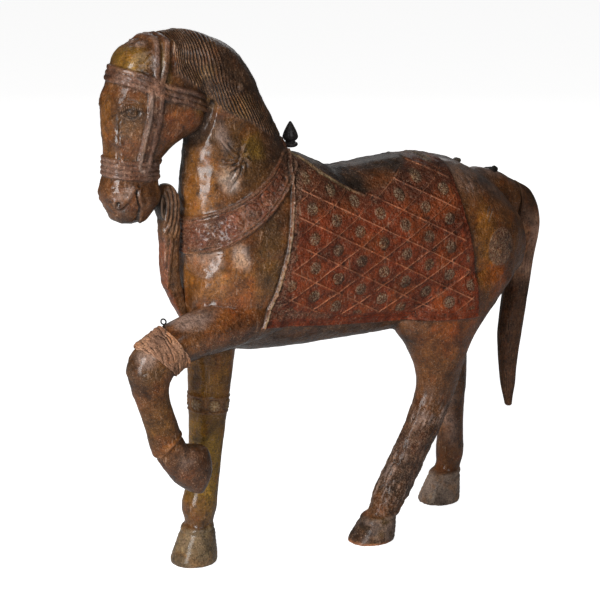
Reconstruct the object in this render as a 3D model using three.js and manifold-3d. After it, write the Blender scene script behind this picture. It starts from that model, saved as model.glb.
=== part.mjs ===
// A carved and painted wooden horse that stands on three hooves, its left foreleg raised.
// Millimetres, +Z up. The horse faces -X and its left side is -Y. The origin is on the floor,
// under the middle of the horse's box.
import * as THREE from "three";
import { mergeVertices } from "three/addons/utils/BufferGeometryUtils.js";
import Module from "manifold-3d";

const wasm = await Module();
wasm.setup();

// Driving dimensions
const FIT_GAP = 0.3; // between pieces that touch
const REACH = 300; // a cutter reaches this far to each side of the horse
const STRAP_RISE = 3; // how far the bridle and the bands stand proud
const CLOTH_RISE = 4;
const FIELD_RISE = 1.5; // the cloth's quilted field, above its border
const LATTICE_RISE = 1.6; // the diamond fillets, above the field
const LATTICE_WIDTH = 4;
const LATTICE_PITCH = 48; // from one fillet to the next, measured upright
const LATTICE_SLOPE = 0.54;
const ROSETTE_RADIUS = 8.5;
const ROSETTE_RISE = 2;
const MANE_RISE = 3.5;
const MANE_CUT = 2.5; // width of a gouge cut between two locks
const MANE_LOCKS = 9;

// A station is [edge A x, edge A z, edge B x, edge B z, half width, middle y]: the two edges
// of a section in the side view, its half width and where its middle lies across the horse.
// Along the body, edge A is the back and edge B the belly.
const TORSO = [
  [-276, 560, -276, 428, 58, 0],
  [-245, 638, -245, 390, 82, 0],
  [-190, 674, -190, 368, 94, 0],
  [-97, 687, -97, 360, 99, 0],
  [-45, 668, -45, 359, 100, 0],
  [-5, 650, -5, 358, 101, 0],
  [86, 653, 86, 357, 103, 0],
  [160, 653, 160, 358, 105, 0],
  [240, 637, 240, 366, 103, 0],
  [310, 594, 310, 388, 93, 0],
  [350, 552, 350, 417, 71, 0],
];
// Up the neck, edge A is the throat and edge B the crest.
const NECK = [
  [-262, 430, -60, 560, 75, 0],
  [-284, 500, -88, 660, 78, 0],
  [-289, 570, -102, 700, 72, 0],
  [-287, 640, -122, 737, 63, 0],
  [-280, 700, -147, 789, 56, 0],
  [-276, 750, -174, 840, 52, 0],
  [-280, 800, -216, 880, 48, 0],
  [-300, 825, -285, 901, 44, 0],
  [-335, 840, -340, 901, 38, 0],
];
// Down the head, edge A is the face and edge B the jaw.
const HEAD = [
  [-352, 895, -300, 880, 40, 0],
  [-397, 875, -262, 838, 48, 0],
  [-413, 835, -252, 790, 52, 0],
  [-424, 792, -260, 752, 50, 0],
  [-425, 750, -306, 726, 41, 0],
  [-424, 712, -337, 698, 34, 0],
  [-425, 688, -338, 672, 34, 0],
  [-432, 655, -336, 642, 39, 0],
  [-418, 620, -358, 615, 32, 0],
];
// Down each leg, edge A is its front and edge B its back.
const LEFT_FORE = [
  [-215, 474, -130, 404, 46, -46],
  [-284, 462, -228, 392, 41, -58],
  [-330, 453, -289, 384, 36, -60],
  [-366, 440, -325, 377, 33, -60],
  [-410, 413, -348, 362, 33, -60],
  [-425, 378, -356, 336, 32, -60],
  [-409, 324, -342, 288, 28, -60],
  [-394, 279, -329, 254, 26, -60],
  [-385, 245, -318, 240, 27, -60],
  [-366, 212, -286, 232, 31, -60],
  [-343, 180, -279, 196, 33, -60],
  [-317, 160, -297, 161, 24, -60],
];
const RIGHT_FORE = [
  [-262, 430, -176, 430, 42, 34],
  [-262, 360, -182, 352, 38, 28],
  [-263, 284, -196, 274, 33, 24],
  [-264, 215, -206, 205, 29, 24],
  [-268, 146, -215, 138, 27, 24],
  [-279, 100, -220, 92, 29, 24],
  [-273, 70, -228, 64, 25, 24],
  [-280, 58, -224, 54, 30, 24],
  [-299, 12, -221, 12, 37, 24],
  [-301, 0, -221, 0, 38, 24],
];
const LEFT_HIND = [
  [94, 440, 341, 430, 58, -48],
  [94, 372, 269, 358, 51, -54],
  [117, 335, 243, 322, 43, -56],
  [139, 288, 226, 280, 35, -56],
  [141, 250, 213, 240, 30, -55],
  [118, 194, 184, 178, 26, -55],
  [88, 142, 150, 122, 25, -55],
  [56, 84, 118, 68, 26, -55],
  [46, 54, 94, 38, 24, -55],
  [27, 34, 91, 28, 32, -55],
  [5, 4, 88, 4, 37, -55],
  [3, 0, 88, 0, 37, -55],
];
const RIGHT_HIND = [
  [160, 440, 322, 430, 56, 46],
  [176, 372, 316, 340, 46, 50],
  [214, 300, 316, 276, 36, 48],
  [252, 230, 313, 222, 28, 44],
  [262, 160, 307, 156, 23, 42],
  [258, 96, 307, 90, 25, 41],
  [258, 66, 300, 58, 22, 41],
  [243, 46, 300, 40, 30, 41],
  [222, 4, 298, 4, 37, 41],
  [220, 0, 298, 0, 37, 41],
];
// Out of the rump to the joint of the tail, then down the tail.
const DOCK = [
  [290, 616, 290, 520, 30, 0],
  [335, 606, 335, 520, 27, 0],
  [381, 580, 381, 514, 24, 0],
];
const TAIL = [
  [384, 580, 384, 514, 24, 0],
  [416, 558, 390, 502, 26, 0],
  [432.3, 510, 392, 478, 27, 0],
  [420, 430, 378, 425, 26, 0],
  [408, 350, 363, 345, 24, 0],
  [399, 284, 358, 290, 20, 0],
  [392, 215, 363, 222, 14, 0],
  [388, 172, 374, 172, 8, 0],
];

// The saddle cloth in the side view, from the withers back over the loin, and the quilted
// field inside its borders, which ends below the seat.
const CLOTH = [
  [-120, 760],
  [-142, 606],
  [-158, 517],
  [-186, 426],
  [-69, 407],
  [71, 392],
  [236, 379],
  [230, 430],
  [214, 500],
  [196, 570],
  [176, 640],
  [160, 760],
];
const QUILT = [
  [-108, 650],
  [-124, 600],
  [-138, 517],
  [-152, 440],
  [71, 408],
  [216, 396],
  [210, 440],
  [196, 505],
  [180, 566],
  [160, 622],
  [60, 608],
  [-30, 624],
];
const QUILT_NODE = { x: -55, z: 512 }; // a crossing of the lattice
const HIP = { x: 290, z: 487, radius: 27, rise: 2.5 }; // the roundel on each hip

// Straps and bands, as lines of the side view with their widths.
const BROWBAND = { line: [[-450, 842], [-405, 834], [-357, 820], [-300, 806], [-230, 790]], width: 22 };
const NOSEBAND = { line: [[-460, 706], [-300, 682]], width: 30 };
const CROWN_STRAP = { line: [[-338, 930], [-345, 820]], width: 30 };
const CHEEK_STRAP = { line: [[-350, 820], [-366, 760], [-384, 692]], width: 24 };
const BREAST_BAND = { line: [[-330, 572], [-250, 590], [-190, 618], [-120, 668]], width: 46 };
const LEG_BAND = { low: 252, high: 286, fore: -320, aft: -150, slant: 6 };

// The mane's field in the side view, where its first gouge cut starts, how far the cuts run
// along the crest and drop with it, and how each of them falls.
const MANE_FIELD = [[-322, 960], [-322, 842], [-262, 800], [-220, 766], [-152, 726], [-90, 726], [-60, 960]];
const MANE_CUTS = { x: -322, z: 925, run: 200, drop: 170, fall: [34, -110] };

// The face. out is the distance from the middle of the horse.
const EYELID = { x: -400, z: 791, out: 44, size: [20, 9, 13], tilt: 0.5 };
const EYEBALL = { ...EYELID, out: 48, size: [12, 7, 8.5] };
const NOSTRIL = { x: -428, z: 645, out: 30, size: [8, 10, 12], tilt: -0.5 };
const MOUTH = { line: [[-366, 596], [-372, 640], [-366, 664]], width: 4, out: 26 };

// The curled strip before the chest: its curl, where the curl meets the stem, and the stem's
// stations as x, z and half depth.
const CURL = { x: -319, z: 622, radius: 21, stretch: 2.1, turns: 1.3, band: 11, half: 15, steps: 16 };
const CURL_LIP = [-340, 600];
const STEM = [[-313, 575, 15.5], [-313, 510, 15.5], [-299, 465, 11], [-287, 432, 7]];
const STEM_HALF = 10;

// The turned knob at the withers, as radius and height, and the iron left in the croup.
const WITHERS = { x: -83, z: 693 };
const KNOB = [[0, 0], [9, 0], [12, 3], [12, 6], [8, 8], [8, 10], [13, 15], [12, 21], [3, 42], [0, 43]];
const STUB = { x: 331, z: 594, top: 9, foot: 12, length: 26, jag: 4, points: 5 };
const NAIL = { x: 256, z: 629, out: 0, size: [8, 8, 6] };

// The repair of the raised leg, between places counted in the leg's stations.
const BINDING = { from: 2.9, to: 3.9, swell: 4.5, steps: 3 };
const WIRE = { from: 2.75, to: 2.85, swell: 3, steps: 1 };
const WIRE_LOOP = { x: -360, y: -60, z: 453, radius: 4.5, wire: 1.3, stem: 10 };

// The section of a row of stations at t, from 0 at the first to 1 at the last.
function section(stations, t) {
  const along = (...columns) =>
    new THREE.CatmullRomCurve3(
      stations.map((s) => new THREE.Vector3(...columns.map((c) => s[c]))),
      false,
      "catmullrom",
    ).getPoint(t);
  const a = along(0, 5, 1);
  const b = along(2, 5, 3);
  const middle = a.clone().add(b).divideScalar(2);
  return { middle, arm: a.sub(b).divideScalar(2), half: along(4, 5, 4).x };
}

// One ring of a skin: a superellipse in the section's own plane.
function ring({ middle, arm, half }, { sides, power, swell }, shrink = 1) {
  const bend = (v) => Math.sign(v) * Math.abs(v) ** (2 / power);
  const reach = arm.clone().setLength((arm.length() + swell) * shrink);
  const across = new THREE.Vector3(0, (half + swell) * shrink, 0);
  return Array.from({ length: sides }, (_, k) => {
    const turn = (2 * Math.PI * k) / sides;
    const point = middle.clone().addScaledVector(reach, bend(Math.cos(turn)));
    return point.addScaledVector(across, bend(Math.sin(turn)));
  });
}

// A closed skin through a row of stations, swollen outwards by swell, between two places of
// the row. domes rounds its two ends.
function skin(stations, options) {
  const form = { sides: 12, steps: 1, power: 2, swell: 0, domes: [0, 0], from: 0, to: 1, ...options };
  const DOME_RINGS = 2;
  const count = Math.max(1, Math.round((stations.length - 1) * form.steps * (form.to - form.from)));
  const place = (i) => form.from + ((form.to - form.from) * i) / count;
  const sections = Array.from({ length: count + 1 }, (_, i) => section(stations, place(i)));
  const cap = (last, before, height) => {
    const out = last.middle.clone().sub(before.middle).setLength(height ? height + form.swell : 0);
    const rings = [];
    for (let j = 1; height && j < DOME_RINGS; j++) {
      const turn = (j / DOME_RINGS) * (Math.PI / 2);
      const middle = last.middle.clone().addScaledVector(out, Math.sin(turn));
      rings.push(ring({ ...last, middle }, form, Math.cos(turn)));
    }
    return { rings, pole: last.middle.clone().add(out) };
  };
  const start = cap(sections[0], sections[1], form.domes[0]);
  const end = cap(sections[count], sections[count - 1], form.domes[1]);
  const rings = [...start.rings.reverse(), ...sections.map((s) => ring(s, form)), ...end.rings];
  const points = [...rings.flat(), start.pole, end.pole];
  const index = [];
  for (let k = 0; k < form.sides; k++) {
    const next = (k + 1) % form.sides;
    for (let i = 0; i + 1 < rings.length; i++) {
      const [p, q] = [i * form.sides + k, i * form.sides + next];
      index.push(p, q, q + form.sides, p, q + form.sides, p + form.sides);
    }
    const last = (rings.length - 1) * form.sides;
    index.push(points.length - 2, next, k, points.length - 1, last + k, last + next);
  }
  return new THREE.BufferGeometry().setFromPoints(points).setIndex(index);
}

// A geometry as a solid with its faces outwards, whichever way round they were made.
function solid(geometry) {
  const bare = geometry.clone();
  for (const name of ["normal", "uv"]) bare.deleteAttribute(name);
  const merged = mergeVertices(bare, 1e-3);
  const vertProperties = new Float32Array(merged.getAttribute("position").array);
  const triVerts = new Uint32Array(merged.index.array);
  const made = new wasm.Manifold(new wasm.Mesh({ numProp: 3, vertProperties, triVerts }));
  if (made.volume() > 0) return made;
  const turned = triVerts.map((_, i) => triVerts[i - (i % 3) + 2 - (i % 3)]);
  return new wasm.Manifold(new wasm.Mesh({ numProp: 3, vertProperties, triVerts: turned }));
}

const join = (solids) => solids.reduce((whole, s) => whole.add(s));

// A plate of a side-view outline, right across the horse or between two places across it.
function plate(outline, from = -REACH, to = REACH) {
  const shape = new THREE.Shape(outline.map(([x, z]) => new THREE.Vector2(x, z)));
  const geometry = new THREE.ExtrudeGeometry(shape, { depth: to - from, bevelEnabled: false });
  return solid(geometry.rotateX(Math.PI / 2).translate(0, to, 0));
}

// A strip of the side view of a given width, along a few points of a smooth curve.
function strip({ line, width }, from, to) {
  const curve = new THREE.CatmullRomCurve3(line.map(([x, z]) => new THREE.Vector3(x, 0, z)));
  const last = line.length - 1;
  const edge = (side) =>
    line.map((_, i) => {
      const { x, z } = curve.getPoint(i / last);
      const way = curve.getTangent(i / last).multiplyScalar((side * width) / 2);
      return [x - way.z, z + way.x];
    });
  return plate([...edge(1), ...edge(-1).reverse()], from, to);
}

const TORSO_SKIN = { sides: 20, steps: 1.5, power: 2.25, domes: [16, 26] };
const torso = (swell = 0) => solid(skin(TORSO, { ...TORSO_SKIN, swell }));
const neck = (swell = 0) => solid(skin(NECK, { sides: 16, swell }));
const HEAD_SKIN = { sides: 16, power: 2.6, domes: [10, 12] };
const head = (swell = 0) => solid(skin(HEAD, { ...HEAD_SKIN, swell }));
const dock = (swell = 0) => solid(skin(DOCK, { swell }));
const leg = (stations, options) => solid(skin(stations, { sides: 10, ...options }));

// The point at a height over the torso's flank, above a place of the side view.
function flank(x, z, side, height) {
  let [low, high] = [0, 1];
  while (high - low > 1e-4) {
    const t = (low + high) / 2;
    if (section(TORSO, t).middle.x < x) low = t;
    else high = t;
  }
  const { power } = TORSO_SKIN;
  const { middle, arm, half } = section(TORSO, low);
  const up = (z - middle.z) / arm.z;
  const out = half * (1 - Math.min(1, Math.abs(up)) ** power) ** (1 / power);
  const lean = Math.sign(up) * Math.abs(up) ** (power - 1) / arm.z;
  const face = new THREE.Vector3(0, (side * (out / half) ** (power - 1)) / half, lean).setLength(height);
  return new THREE.Vector3(x, side * out, z).add(face);
}

// The quilted field on one flank: a diamond lattice of raised fillets with a rosette in the
// middle of each diamond. The field stands a little proud of the cloth's border and goes down
// into the wood.
function quilt(side) {
  const ROWS = 7;
  const ROOT = -6;
  const FIELD = CLOTH_RISE + FIELD_RISE;
  const [halfX, halfZ] = [LATTICE_PITCH / 2 / LATTICE_SLOPE, LATTICE_PITCH / 2];
  const inset = 1 - (LATTICE_WIDTH / 2) * (Math.hypot(halfX, halfZ) / (halfX * halfZ));
  const [foreTop, , , foreFoot, middleFoot, aftFoot] = QUILT;
  const [low, high] = [middleFoot[1] - halfZ, foreTop[1]];
  const [fore, aft] = [foreFoot[0] - halfX, aftFoot[0] + halfX];
  const crossing = (i, j) => [QUILT_NODE.x + (i - j) * halfX, QUILT_NODE.z + (i + j) * halfZ];
  const used = (i, j) => {
    const [x, z] = crossing(i + 0.5, j + 0.5);
    return x > fore && x < aft && z > low && z < high;
  };
  const points = [];
  const index = [];
  const add = ([x, z], height) => points.push(flank(x, z, side, height)) - 1;
  const diamond = (i, j) => {
    const middle = crossing(i + 0.5, j + 0.5);
    const corners = [[i, j], [i + 1, j], [i + 1, j + 1], [i, j + 1]].map(([p, q]) => crossing(p, q));
    const neighbours = [[i, j - 1], [i + 1, j], [i, j + 1], [i - 1, j]];
    const shrunk = (share) =>
      corners.map((c) => c.map((v, axis) => middle[axis] + share * (v - middle[axis])));
    const root = corners.map((c) => add(c, ROOT));
    const crest = corners.map((c) => add(c, FIELD + LATTICE_RISE));
    const floor = shrunk(inset).map((c) => add(c, FIELD));
    const petals = shrunk(ROSETTE_RADIUS / halfZ).map((c) => add(c, FIELD));
    const tip = add(middle, FIELD + ROSETTE_RISE);
    neighbours.forEach(([p, q], k) => {
      const n = (k + 1) % 4;
      if (!used(p, q)) index.push(root[k], root[n], crest[n], root[k], crest[n], crest[k]);
      index.push(crest[k], crest[n], floor[n], crest[k], floor[n], floor[k]);
      index.push(floor[k], floor[n], petals[n], floor[k], petals[n], petals[k]);
      index.push(petals[k], petals[n], tip);
    });
    index.push(root[0], root[2], root[1], root[0], root[3], root[2]);
  };
  for (let i = -ROWS; i <= ROWS; i++) {
    for (let j = -ROWS; j <= ROWS; j++) {
      if (used(i, j)) diamond(i, j);
    }
  }
  const field = solid(new THREE.BufferGeometry().setFromPoints(points).setIndex(index));
  return field.intersect(plate(QUILT));
}

function saddleCloth() {
  return join([torso(CLOTH_RISE).intersect(plate(CLOTH)), quilt(-1), quilt(1)]);
}

// A low round boss on a flank.
function roundel({ x, z, radius, rise }, side) {
  const SIDES = 12;
  const outwards = flank(x, z, side, 1).sub(flank(x, z, side, 0));
  const middle = flank(x, z, side, 0);
  const geometry = new THREE.CylinderGeometry(radius - rise, radius + rise, 4 * rise, SIDES);
  geometry.applyQuaternion(new THREE.Quaternion().setFromUnitVectors(new THREE.Vector3(0, 1, 0), outwards));
  return solid(geometry.translate(middle.x, middle.y - side * rise, middle.z));
}

// The bridle: bands round the brow and the nose, a strap over the poll and one down each
// cheek, all cut from a swollen copy of the head.
function bridle() {
  const straps = [BROWBAND, NOSEBAND, CROWN_STRAP, CHEEK_STRAP];
  return head(STRAP_RISE).intersect(join(straps.map((strap) => strip(strap))));
}

// Locks of the mane: a raised field on each side of the crest, parted by gouge cuts.
function mane() {
  const cuts = Array.from({ length: MANE_LOCKS }, (_, i) => {
    const t = i / (MANE_LOCKS - 1);
    const x = MANE_CUTS.x + MANE_CUTS.run * t;
    const z = MANE_CUTS.z - MANE_CUTS.drop * t * t;
    const end = [x + MANE_CUTS.fall[0], z + MANE_CUTS.fall[1]];
    return strip({ line: [[x, z], end], width: MANE_CUT });
  });
  return neck(MANE_RISE).intersect(plate(MANE_FIELD)).subtract(join(cuts));
}

// The breast band, in a slant from the withers down across the chest.
function breastBand() {
  return neck(STRAP_RISE).add(torso(STRAP_RISE)).intersect(strip(BREAST_BAND));
}

// A ball stretched to a bump, on one side of the horse.
function bump({ x, z, out, size, tilt = 0 }, side) {
  const ball = new THREE.SphereGeometry(1, 8, 4).scale(...size).rotateY(tilt);
  return solid(ball.translate(x, side * out, z));
}

// The raised eyes, and the nostrils and mouth that are cut in.
function face() {
  const both = (make) => [make(-1), make(1)];
  const raised = [EYELID, EYEBALL].flatMap((eye) => both((side) => bump(eye, side)));
  const nostrils = both((side) => bump(NOSTRIL, side));
  const lips = [strip(MOUTH, -REACH, -MOUTH.out), strip(MOUTH, MOUTH.out, REACH)];
  return { add: join(raised), cut: join([...nostrils, ...lips]) };
}

// A raised band round the standing foreleg.
function legBand() {
  const { low, high, fore, aft, slant } = LEG_BAND;
  const band = plate([[fore, low], [aft, low - slant], [aft, high - slant], [fore, high]]);
  return leg(RIGHT_FORE, { swell: STRAP_RISE }).intersect(band);
}

function carvedHorse() {
  const { add, cut } = face();
  const legs = [LEFT_FORE, RIGHT_FORE, LEFT_HIND, RIGHT_HIND].map((stations) => leg(stations));
  const body = [torso(), neck(), head(), ...legs, dock()];
  const roundels = [-1, 1].map((side) => roundel(HIP, side));
  const carving = [saddleCloth(), bridle(), mane(), breastBand(), legBand(), add, ...roundels];
  return join([...body, ...carving]).subtract(cut);
}

// A curled strip in front of the chest. Its head is a spiral band, and its stem runs down to
// the foot of the neck behind the raised foreleg.
function chestScroll(body) {
  const outer = [];
  const inner = [];
  for (let i = 0; i <= CURL.steps; i++) {
    const share = i / CURL.steps;
    const turn = 2 * Math.PI * CURL.turns * share;
    const radius = CURL.radius * (1 - 0.72 * share);
    const width = CURL.band * (1 - 0.6 * share);
    const at = (r) => [CURL.x + r * Math.cos(turn), CURL.z + CURL.stretch * r * Math.sin(turn)];
    outer.push(at(radius));
    inner.push(at(radius - width));
  }
  const curl = plate([...outer, ...inner.reverse()], -CURL.half, CURL.half);
  const bandEnd = [CURL.radius, CURL.radius - CURL.band].map((r) => [CURL.x + r, CURL.z]);
  const front = STEM.map(([x, z, half]) => [x - half, z]);
  const back = STEM.map(([x, z, half]) => [x + half, z]);
  const stem = plate([...bandEnd, CURL_LIP, ...front, ...back.reverse()], -STEM_HALF, STEM_HALF);
  return curl.add(stem).subtract(body);
}

// The turned knob at the withers: a collar, a neck and a pointed bulb.
function finial(body) {
  const SIDES = 12;
  const geometry = new THREE.LatheGeometry(KNOB.map((p) => new THREE.Vector2(...p)), SIDES);
  return solid(geometry.rotateX(Math.PI / 2).translate(WITHERS.x, 0, WITHERS.z)).subtract(body);
}

// What is left of an iron fitting at the root of the tail, broken off short.
function croupStub(body) {
  const SIDES = 7;
  const geometry = new THREE.CylinderGeometry(STUB.top, STUB.foot, STUB.length, SIDES).rotateX(Math.PI / 2);
  const place = geometry.getAttribute("position");
  for (let i = 0; i < place.count; i++) {
    const [x, y, z] = [place.getX(i), place.getY(i), place.getZ(i)];
    const jag = STUB.jag * Math.sin(STUB.points * Math.atan2(y, x) + 1);
    if (z > 0 && Math.hypot(x, y) > 1) place.setZ(i, z + jag);
  }
  return solid(geometry.translate(STUB.x, 0, STUB.z)).subtract(body);
}

// The repair of the raised leg: a wrapping of stiffened cloth below the elbow, and at its upper
// edge a ring of iron wire with its end turned into a loop.
const clearOfLeg = (made) => made.subtract(leg(LEFT_FORE, { swell: FIT_GAP }));

function wrapping({ from, to, swell, steps }) {
  const last = LEFT_FORE.length - 1;
  return clearOfLeg(leg(LEFT_FORE, { from: from / last, to: to / last, swell, steps }));
}

function kneeWire() {
  const { x, y, z, radius, wire, stem } = WIRE_LOOP;
  const loop = new THREE.TorusGeometry(radius, wire, 4, 8).rotateX(Math.PI / 2);
  const shank = new THREE.CylinderGeometry(wire, wire, stem, 5).rotateX(Math.PI / 2);
  shank.translate(0, 0, wire - radius - stem / 2);
  const turnedEnd = solid(loop.translate(x, y, z)).add(solid(shank.translate(x, y, z)));
  return wrapping(WIRE).add(clearOfLeg(turnedEnd));
}

const WOOD = { color: 0x5f3d20, roughness: 0.4, metalness: 0 };
const DARK_WOOD = { color: 0x33251c, roughness: 0.5, metalness: 0 };
const IRON = { color: 0x1d1a18, roughness: 0.65, metalness: 0.5 };
const CLOTH_WRAP = { color: 0x9a6d50, roughness: 0.9, metalness: 0 };

const statue = new THREE.Group();
function place(name, made, look) {
  const { numProp, vertProperties, triVerts } = made.getMesh();
  const geometry = new THREE.BufferGeometry();
  geometry.setAttribute("position", new THREE.BufferAttribute(vertProperties, numProp));
  geometry.setIndex(new THREE.BufferAttribute(triVerts, 1));
  const mesh = new THREE.Mesh(geometry, new THREE.MeshStandardMaterial(look));
  mesh.name = name;
  statue.add(mesh);
}

const chest = join([torso(FIT_GAP), neck(STRAP_RISE + FIT_GAP)]);
const croup = join([torso(FIT_GAP), dock(FIT_GAP)]);
place("horse", carvedHorse(), WOOD);
place("tail", solid(skin(TAIL, { steps: 1.5, domes: [0, 6] })), DARK_WOOD);
place("chest_scroll", chestScroll(chest), WOOD);
place("saddle_finial", finial(torso(CLOTH_RISE + FIT_GAP)), DARK_WOOD);
place("croup_stub", croupStub(croup), IRON);
place("croup_nail", bump(NAIL, 1).subtract(torso(FIT_GAP)), IRON);
place("knee_wire", kneeWire(), IRON);
place("knee_binding", wrapping(BINDING), CLOTH_WRAP);

export default statue;
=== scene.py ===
# %% [markdown]
# # An old carved wooden horse
# The real horse was cut from wood, painted, varnished, and then handled for many years. In this
# lesson the plain solids of the horse are the frame, and every piece gets its carving and its
# finish around them. Everything is in metres, with +Z up. The horse faces -X, and its left side,
# the one that the camera sees, is -Y.

# %% The frame
import math

import bmesh
import bpy
import numpy as np
from mathutils import Matrix, Vector


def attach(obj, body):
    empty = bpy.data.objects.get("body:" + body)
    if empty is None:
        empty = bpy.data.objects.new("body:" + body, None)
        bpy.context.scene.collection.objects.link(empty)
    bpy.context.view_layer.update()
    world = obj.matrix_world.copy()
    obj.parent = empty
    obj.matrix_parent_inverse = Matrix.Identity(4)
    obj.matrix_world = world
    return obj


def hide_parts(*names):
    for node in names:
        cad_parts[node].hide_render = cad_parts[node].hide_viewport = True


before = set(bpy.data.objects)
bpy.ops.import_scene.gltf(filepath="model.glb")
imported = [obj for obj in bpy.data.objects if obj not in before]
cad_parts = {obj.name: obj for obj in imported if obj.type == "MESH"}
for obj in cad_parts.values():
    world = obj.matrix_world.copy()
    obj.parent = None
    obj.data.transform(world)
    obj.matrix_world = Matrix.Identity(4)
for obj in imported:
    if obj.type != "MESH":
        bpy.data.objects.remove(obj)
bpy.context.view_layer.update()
print("solids in the frame:", sorted(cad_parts))

# %% [markdown]
# ## Camera, floor and light
# The horse was photographed from its front left with a long lens, a little from above, so the
# camera stands four metres away. A floor that runs out of the picture gives a plain pale ground.
# A tall soft lamp before the horse draws the long highlight down its neck and chest, a broad lamp
# beside the camera fills the flank, one above the head finds the upper sides of the forms, and a
# low one behind the horse leaves a grey sheen along its back.

# %% Camera
LOOK_AT = Vector((-0.064, 0, 0.430))
AZIMUTH, ELEVATION = math.radians(-33), math.radians(15.5)
DISTANCE = 4.0
FOCAL_PIXELS, FRAME_PIXELS = 2400, 600

back = Vector((
    math.sin(AZIMUTH) * math.cos(ELEVATION),
    -math.cos(AZIMUTH) * math.cos(ELEVATION),
    math.sin(ELEVATION),
))
bpy.ops.object.camera_add(
    location=LOOK_AT + back * DISTANCE, rotation=back.to_track_quat("Z", "Y").to_euler())
camera = bpy.context.object
camera.data.lens = camera.data.sensor_width * FOCAL_PIXELS / FRAME_PIXELS
camera.data.clip_end = 100
bpy.context.scene.camera = camera
print("camera at", [round(v, 3) for v in camera.location])

# %% Floor and lamps
FLOOR_SIZE = 40
FLOOR_LIFT = 0.88

bpy.ops.mesh.primitive_plane_add(size=FLOOR_SIZE)
floor = bpy.context.object
floor.name = "floor"
floor_paint = bpy.data.materials.new("floor_paint")
floor_paint.use_nodes = True
floor_shader = floor_paint.node_tree.nodes["Principled BSDF"]
floor_shader.inputs["Base Color"].default_value = (0.72, 0.72, 0.72, 1)
floor_shader.inputs["Roughness"].default_value = 0.9
floor_shader.inputs["Emission Color"].default_value = (1, 1, 1, 1)
seen_by = floor_paint.node_tree.nodes.new("ShaderNodeLightPath")
lift = floor_paint.node_tree.nodes.new("ShaderNodeMath")
lift.operation = "MULTIPLY"
lift.inputs[1].default_value = FLOOR_LIFT
floor_paint.node_tree.links.new(seen_by.outputs["Is Camera Ray"], lift.inputs[0])
floor_paint.node_tree.links.new(lift.outputs[0], floor_shader.inputs["Emission Strength"])
floor.data.materials.append(floor_paint)


def lamp(name, place, size, power):
    """A soft rectangular lamp, aimed at the middle of the horse."""
    aim = (Vector(place) - LOOK_AT).to_track_quat("Z", "Y").to_euler()
    bpy.ops.object.light_add(type="AREA", location=place, rotation=aim)
    light = bpy.context.object
    light.name = name
    light.data.shape = "RECTANGLE"
    light.data.size, light.data.size_y = size
    light.data.energy = power


lamp("lamp_before", (-2.9, -1.3, 1.3), (1.0, 2.4), 122)
lamp("lamp_beside_camera", (-0.9, -3.6, 2.5), (2.0, 1.6), 46)
lamp("lamp_above", (-1.5, -1.1, 3.4), (1.8, 1.8), 22)
lamp("lamp_behind", (1.8, 2.8, 1.9), (2.6, 1.2), 15)
world = bpy.data.worlds.new("room")
world.use_nodes = True
world.node_tree.nodes["Background"].inputs["Color"].default_value = (1, 0.99, 0.97, 1)
world.node_tree.nodes["Background"].inputs["Strength"].default_value = 0.06
bpy.context.scene.world = world
bpy.context.scene.view_settings.view_transform = "Standard"

# %% [markdown]
# ## Roughing out the horse
# A carver first saws and chops the block to a rough horse. Here each limb is a tube: a circle is
# added, then extruded from station to station, and each new ring is carried to its place by one
# matrix. A station is a section of the limb: [edge A x, edge A z, edge B x, edge B z, half width,
# middle y] in millimetres, with the two edges as they show in the side view. The stations are the
# same ones that the plain solids were made from, so the piece keeps their form.

# %% Stations
TORSO = [
    [-276, 560, -276, 428, 58, 0], [-245, 638, -245, 390, 82, 0], [-190, 674, -190, 368, 94, 0],
    [-97, 687, -97, 360, 99, 0], [-45, 668, -45, 359, 100, 0], [-5, 650, -5, 358, 101, 0],
    [86, 653, 86, 357, 103, 0], [160, 653, 160, 358, 105, 0], [240, 637, 240, 366, 103, 0],
    [310, 594, 310, 388, 93, 0], [350, 552, 350, 417, 71, 0],
]
NECK = [
    [-262, 430, -60, 560, 75, 0], [-284, 500, -88, 660, 78, 0], [-289, 570, -102, 700, 72, 0],
    [-287, 640, -122, 737, 63, 0], [-280, 700, -147, 789, 56, 0], [-276, 750, -174, 840, 52, 0],
    [-280, 800, -216, 880, 48, 0], [-300, 825, -285, 901, 44, 0], [-335, 840, -340, 901, 38, 0],
]
HEAD = [
    [-352, 895, -300, 880, 40, 0], [-397, 875, -262, 838, 48, 0], [-413, 835, -252, 790, 52, 0],
    [-424, 792, -260, 752, 50, 0], [-425, 750, -306, 726, 41, 0], [-424, 712, -337, 698, 34, 0],
    [-425, 688, -338, 672, 34, 0], [-432, 655, -336, 642, 39, 0], [-418, 620, -358, 615, 32, 0],
]
LEFT_FORE = [
    [-215, 474, -130, 404, 46, -46], [-284, 462, -228, 392, 41, -58], [-330, 453, -289, 384, 36, -60],
    [-366, 440, -325, 377, 33, -60], [-410, 413, -348, 362, 33, -60], [-425, 378, -356, 336, 32, -60],
    [-409, 324, -342, 288, 28, -60], [-394, 279, -329, 254, 26, -60], [-385, 245, -318, 240, 27, -60],
    [-366, 212, -286, 232, 31, -60], [-343, 180, -279, 196, 33, -60], [-317, 160, -297, 161, 24, -60],
]
RIGHT_FORE = [
    [-262, 430, -176, 430, 42, 34], [-262, 360, -182, 352, 38, 28], [-263, 284, -196, 274, 33, 24],
    [-264, 215, -206, 205, 29, 24], [-268, 146, -215, 138, 27, 24], [-279, 100, -220, 92, 29, 24],
    [-273, 70, -228, 64, 25, 24], [-280, 58, -224, 54, 30, 24], [-299, 12, -221, 12, 37, 24],
    [-301, 0, -221, 0, 38, 24],
]
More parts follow.
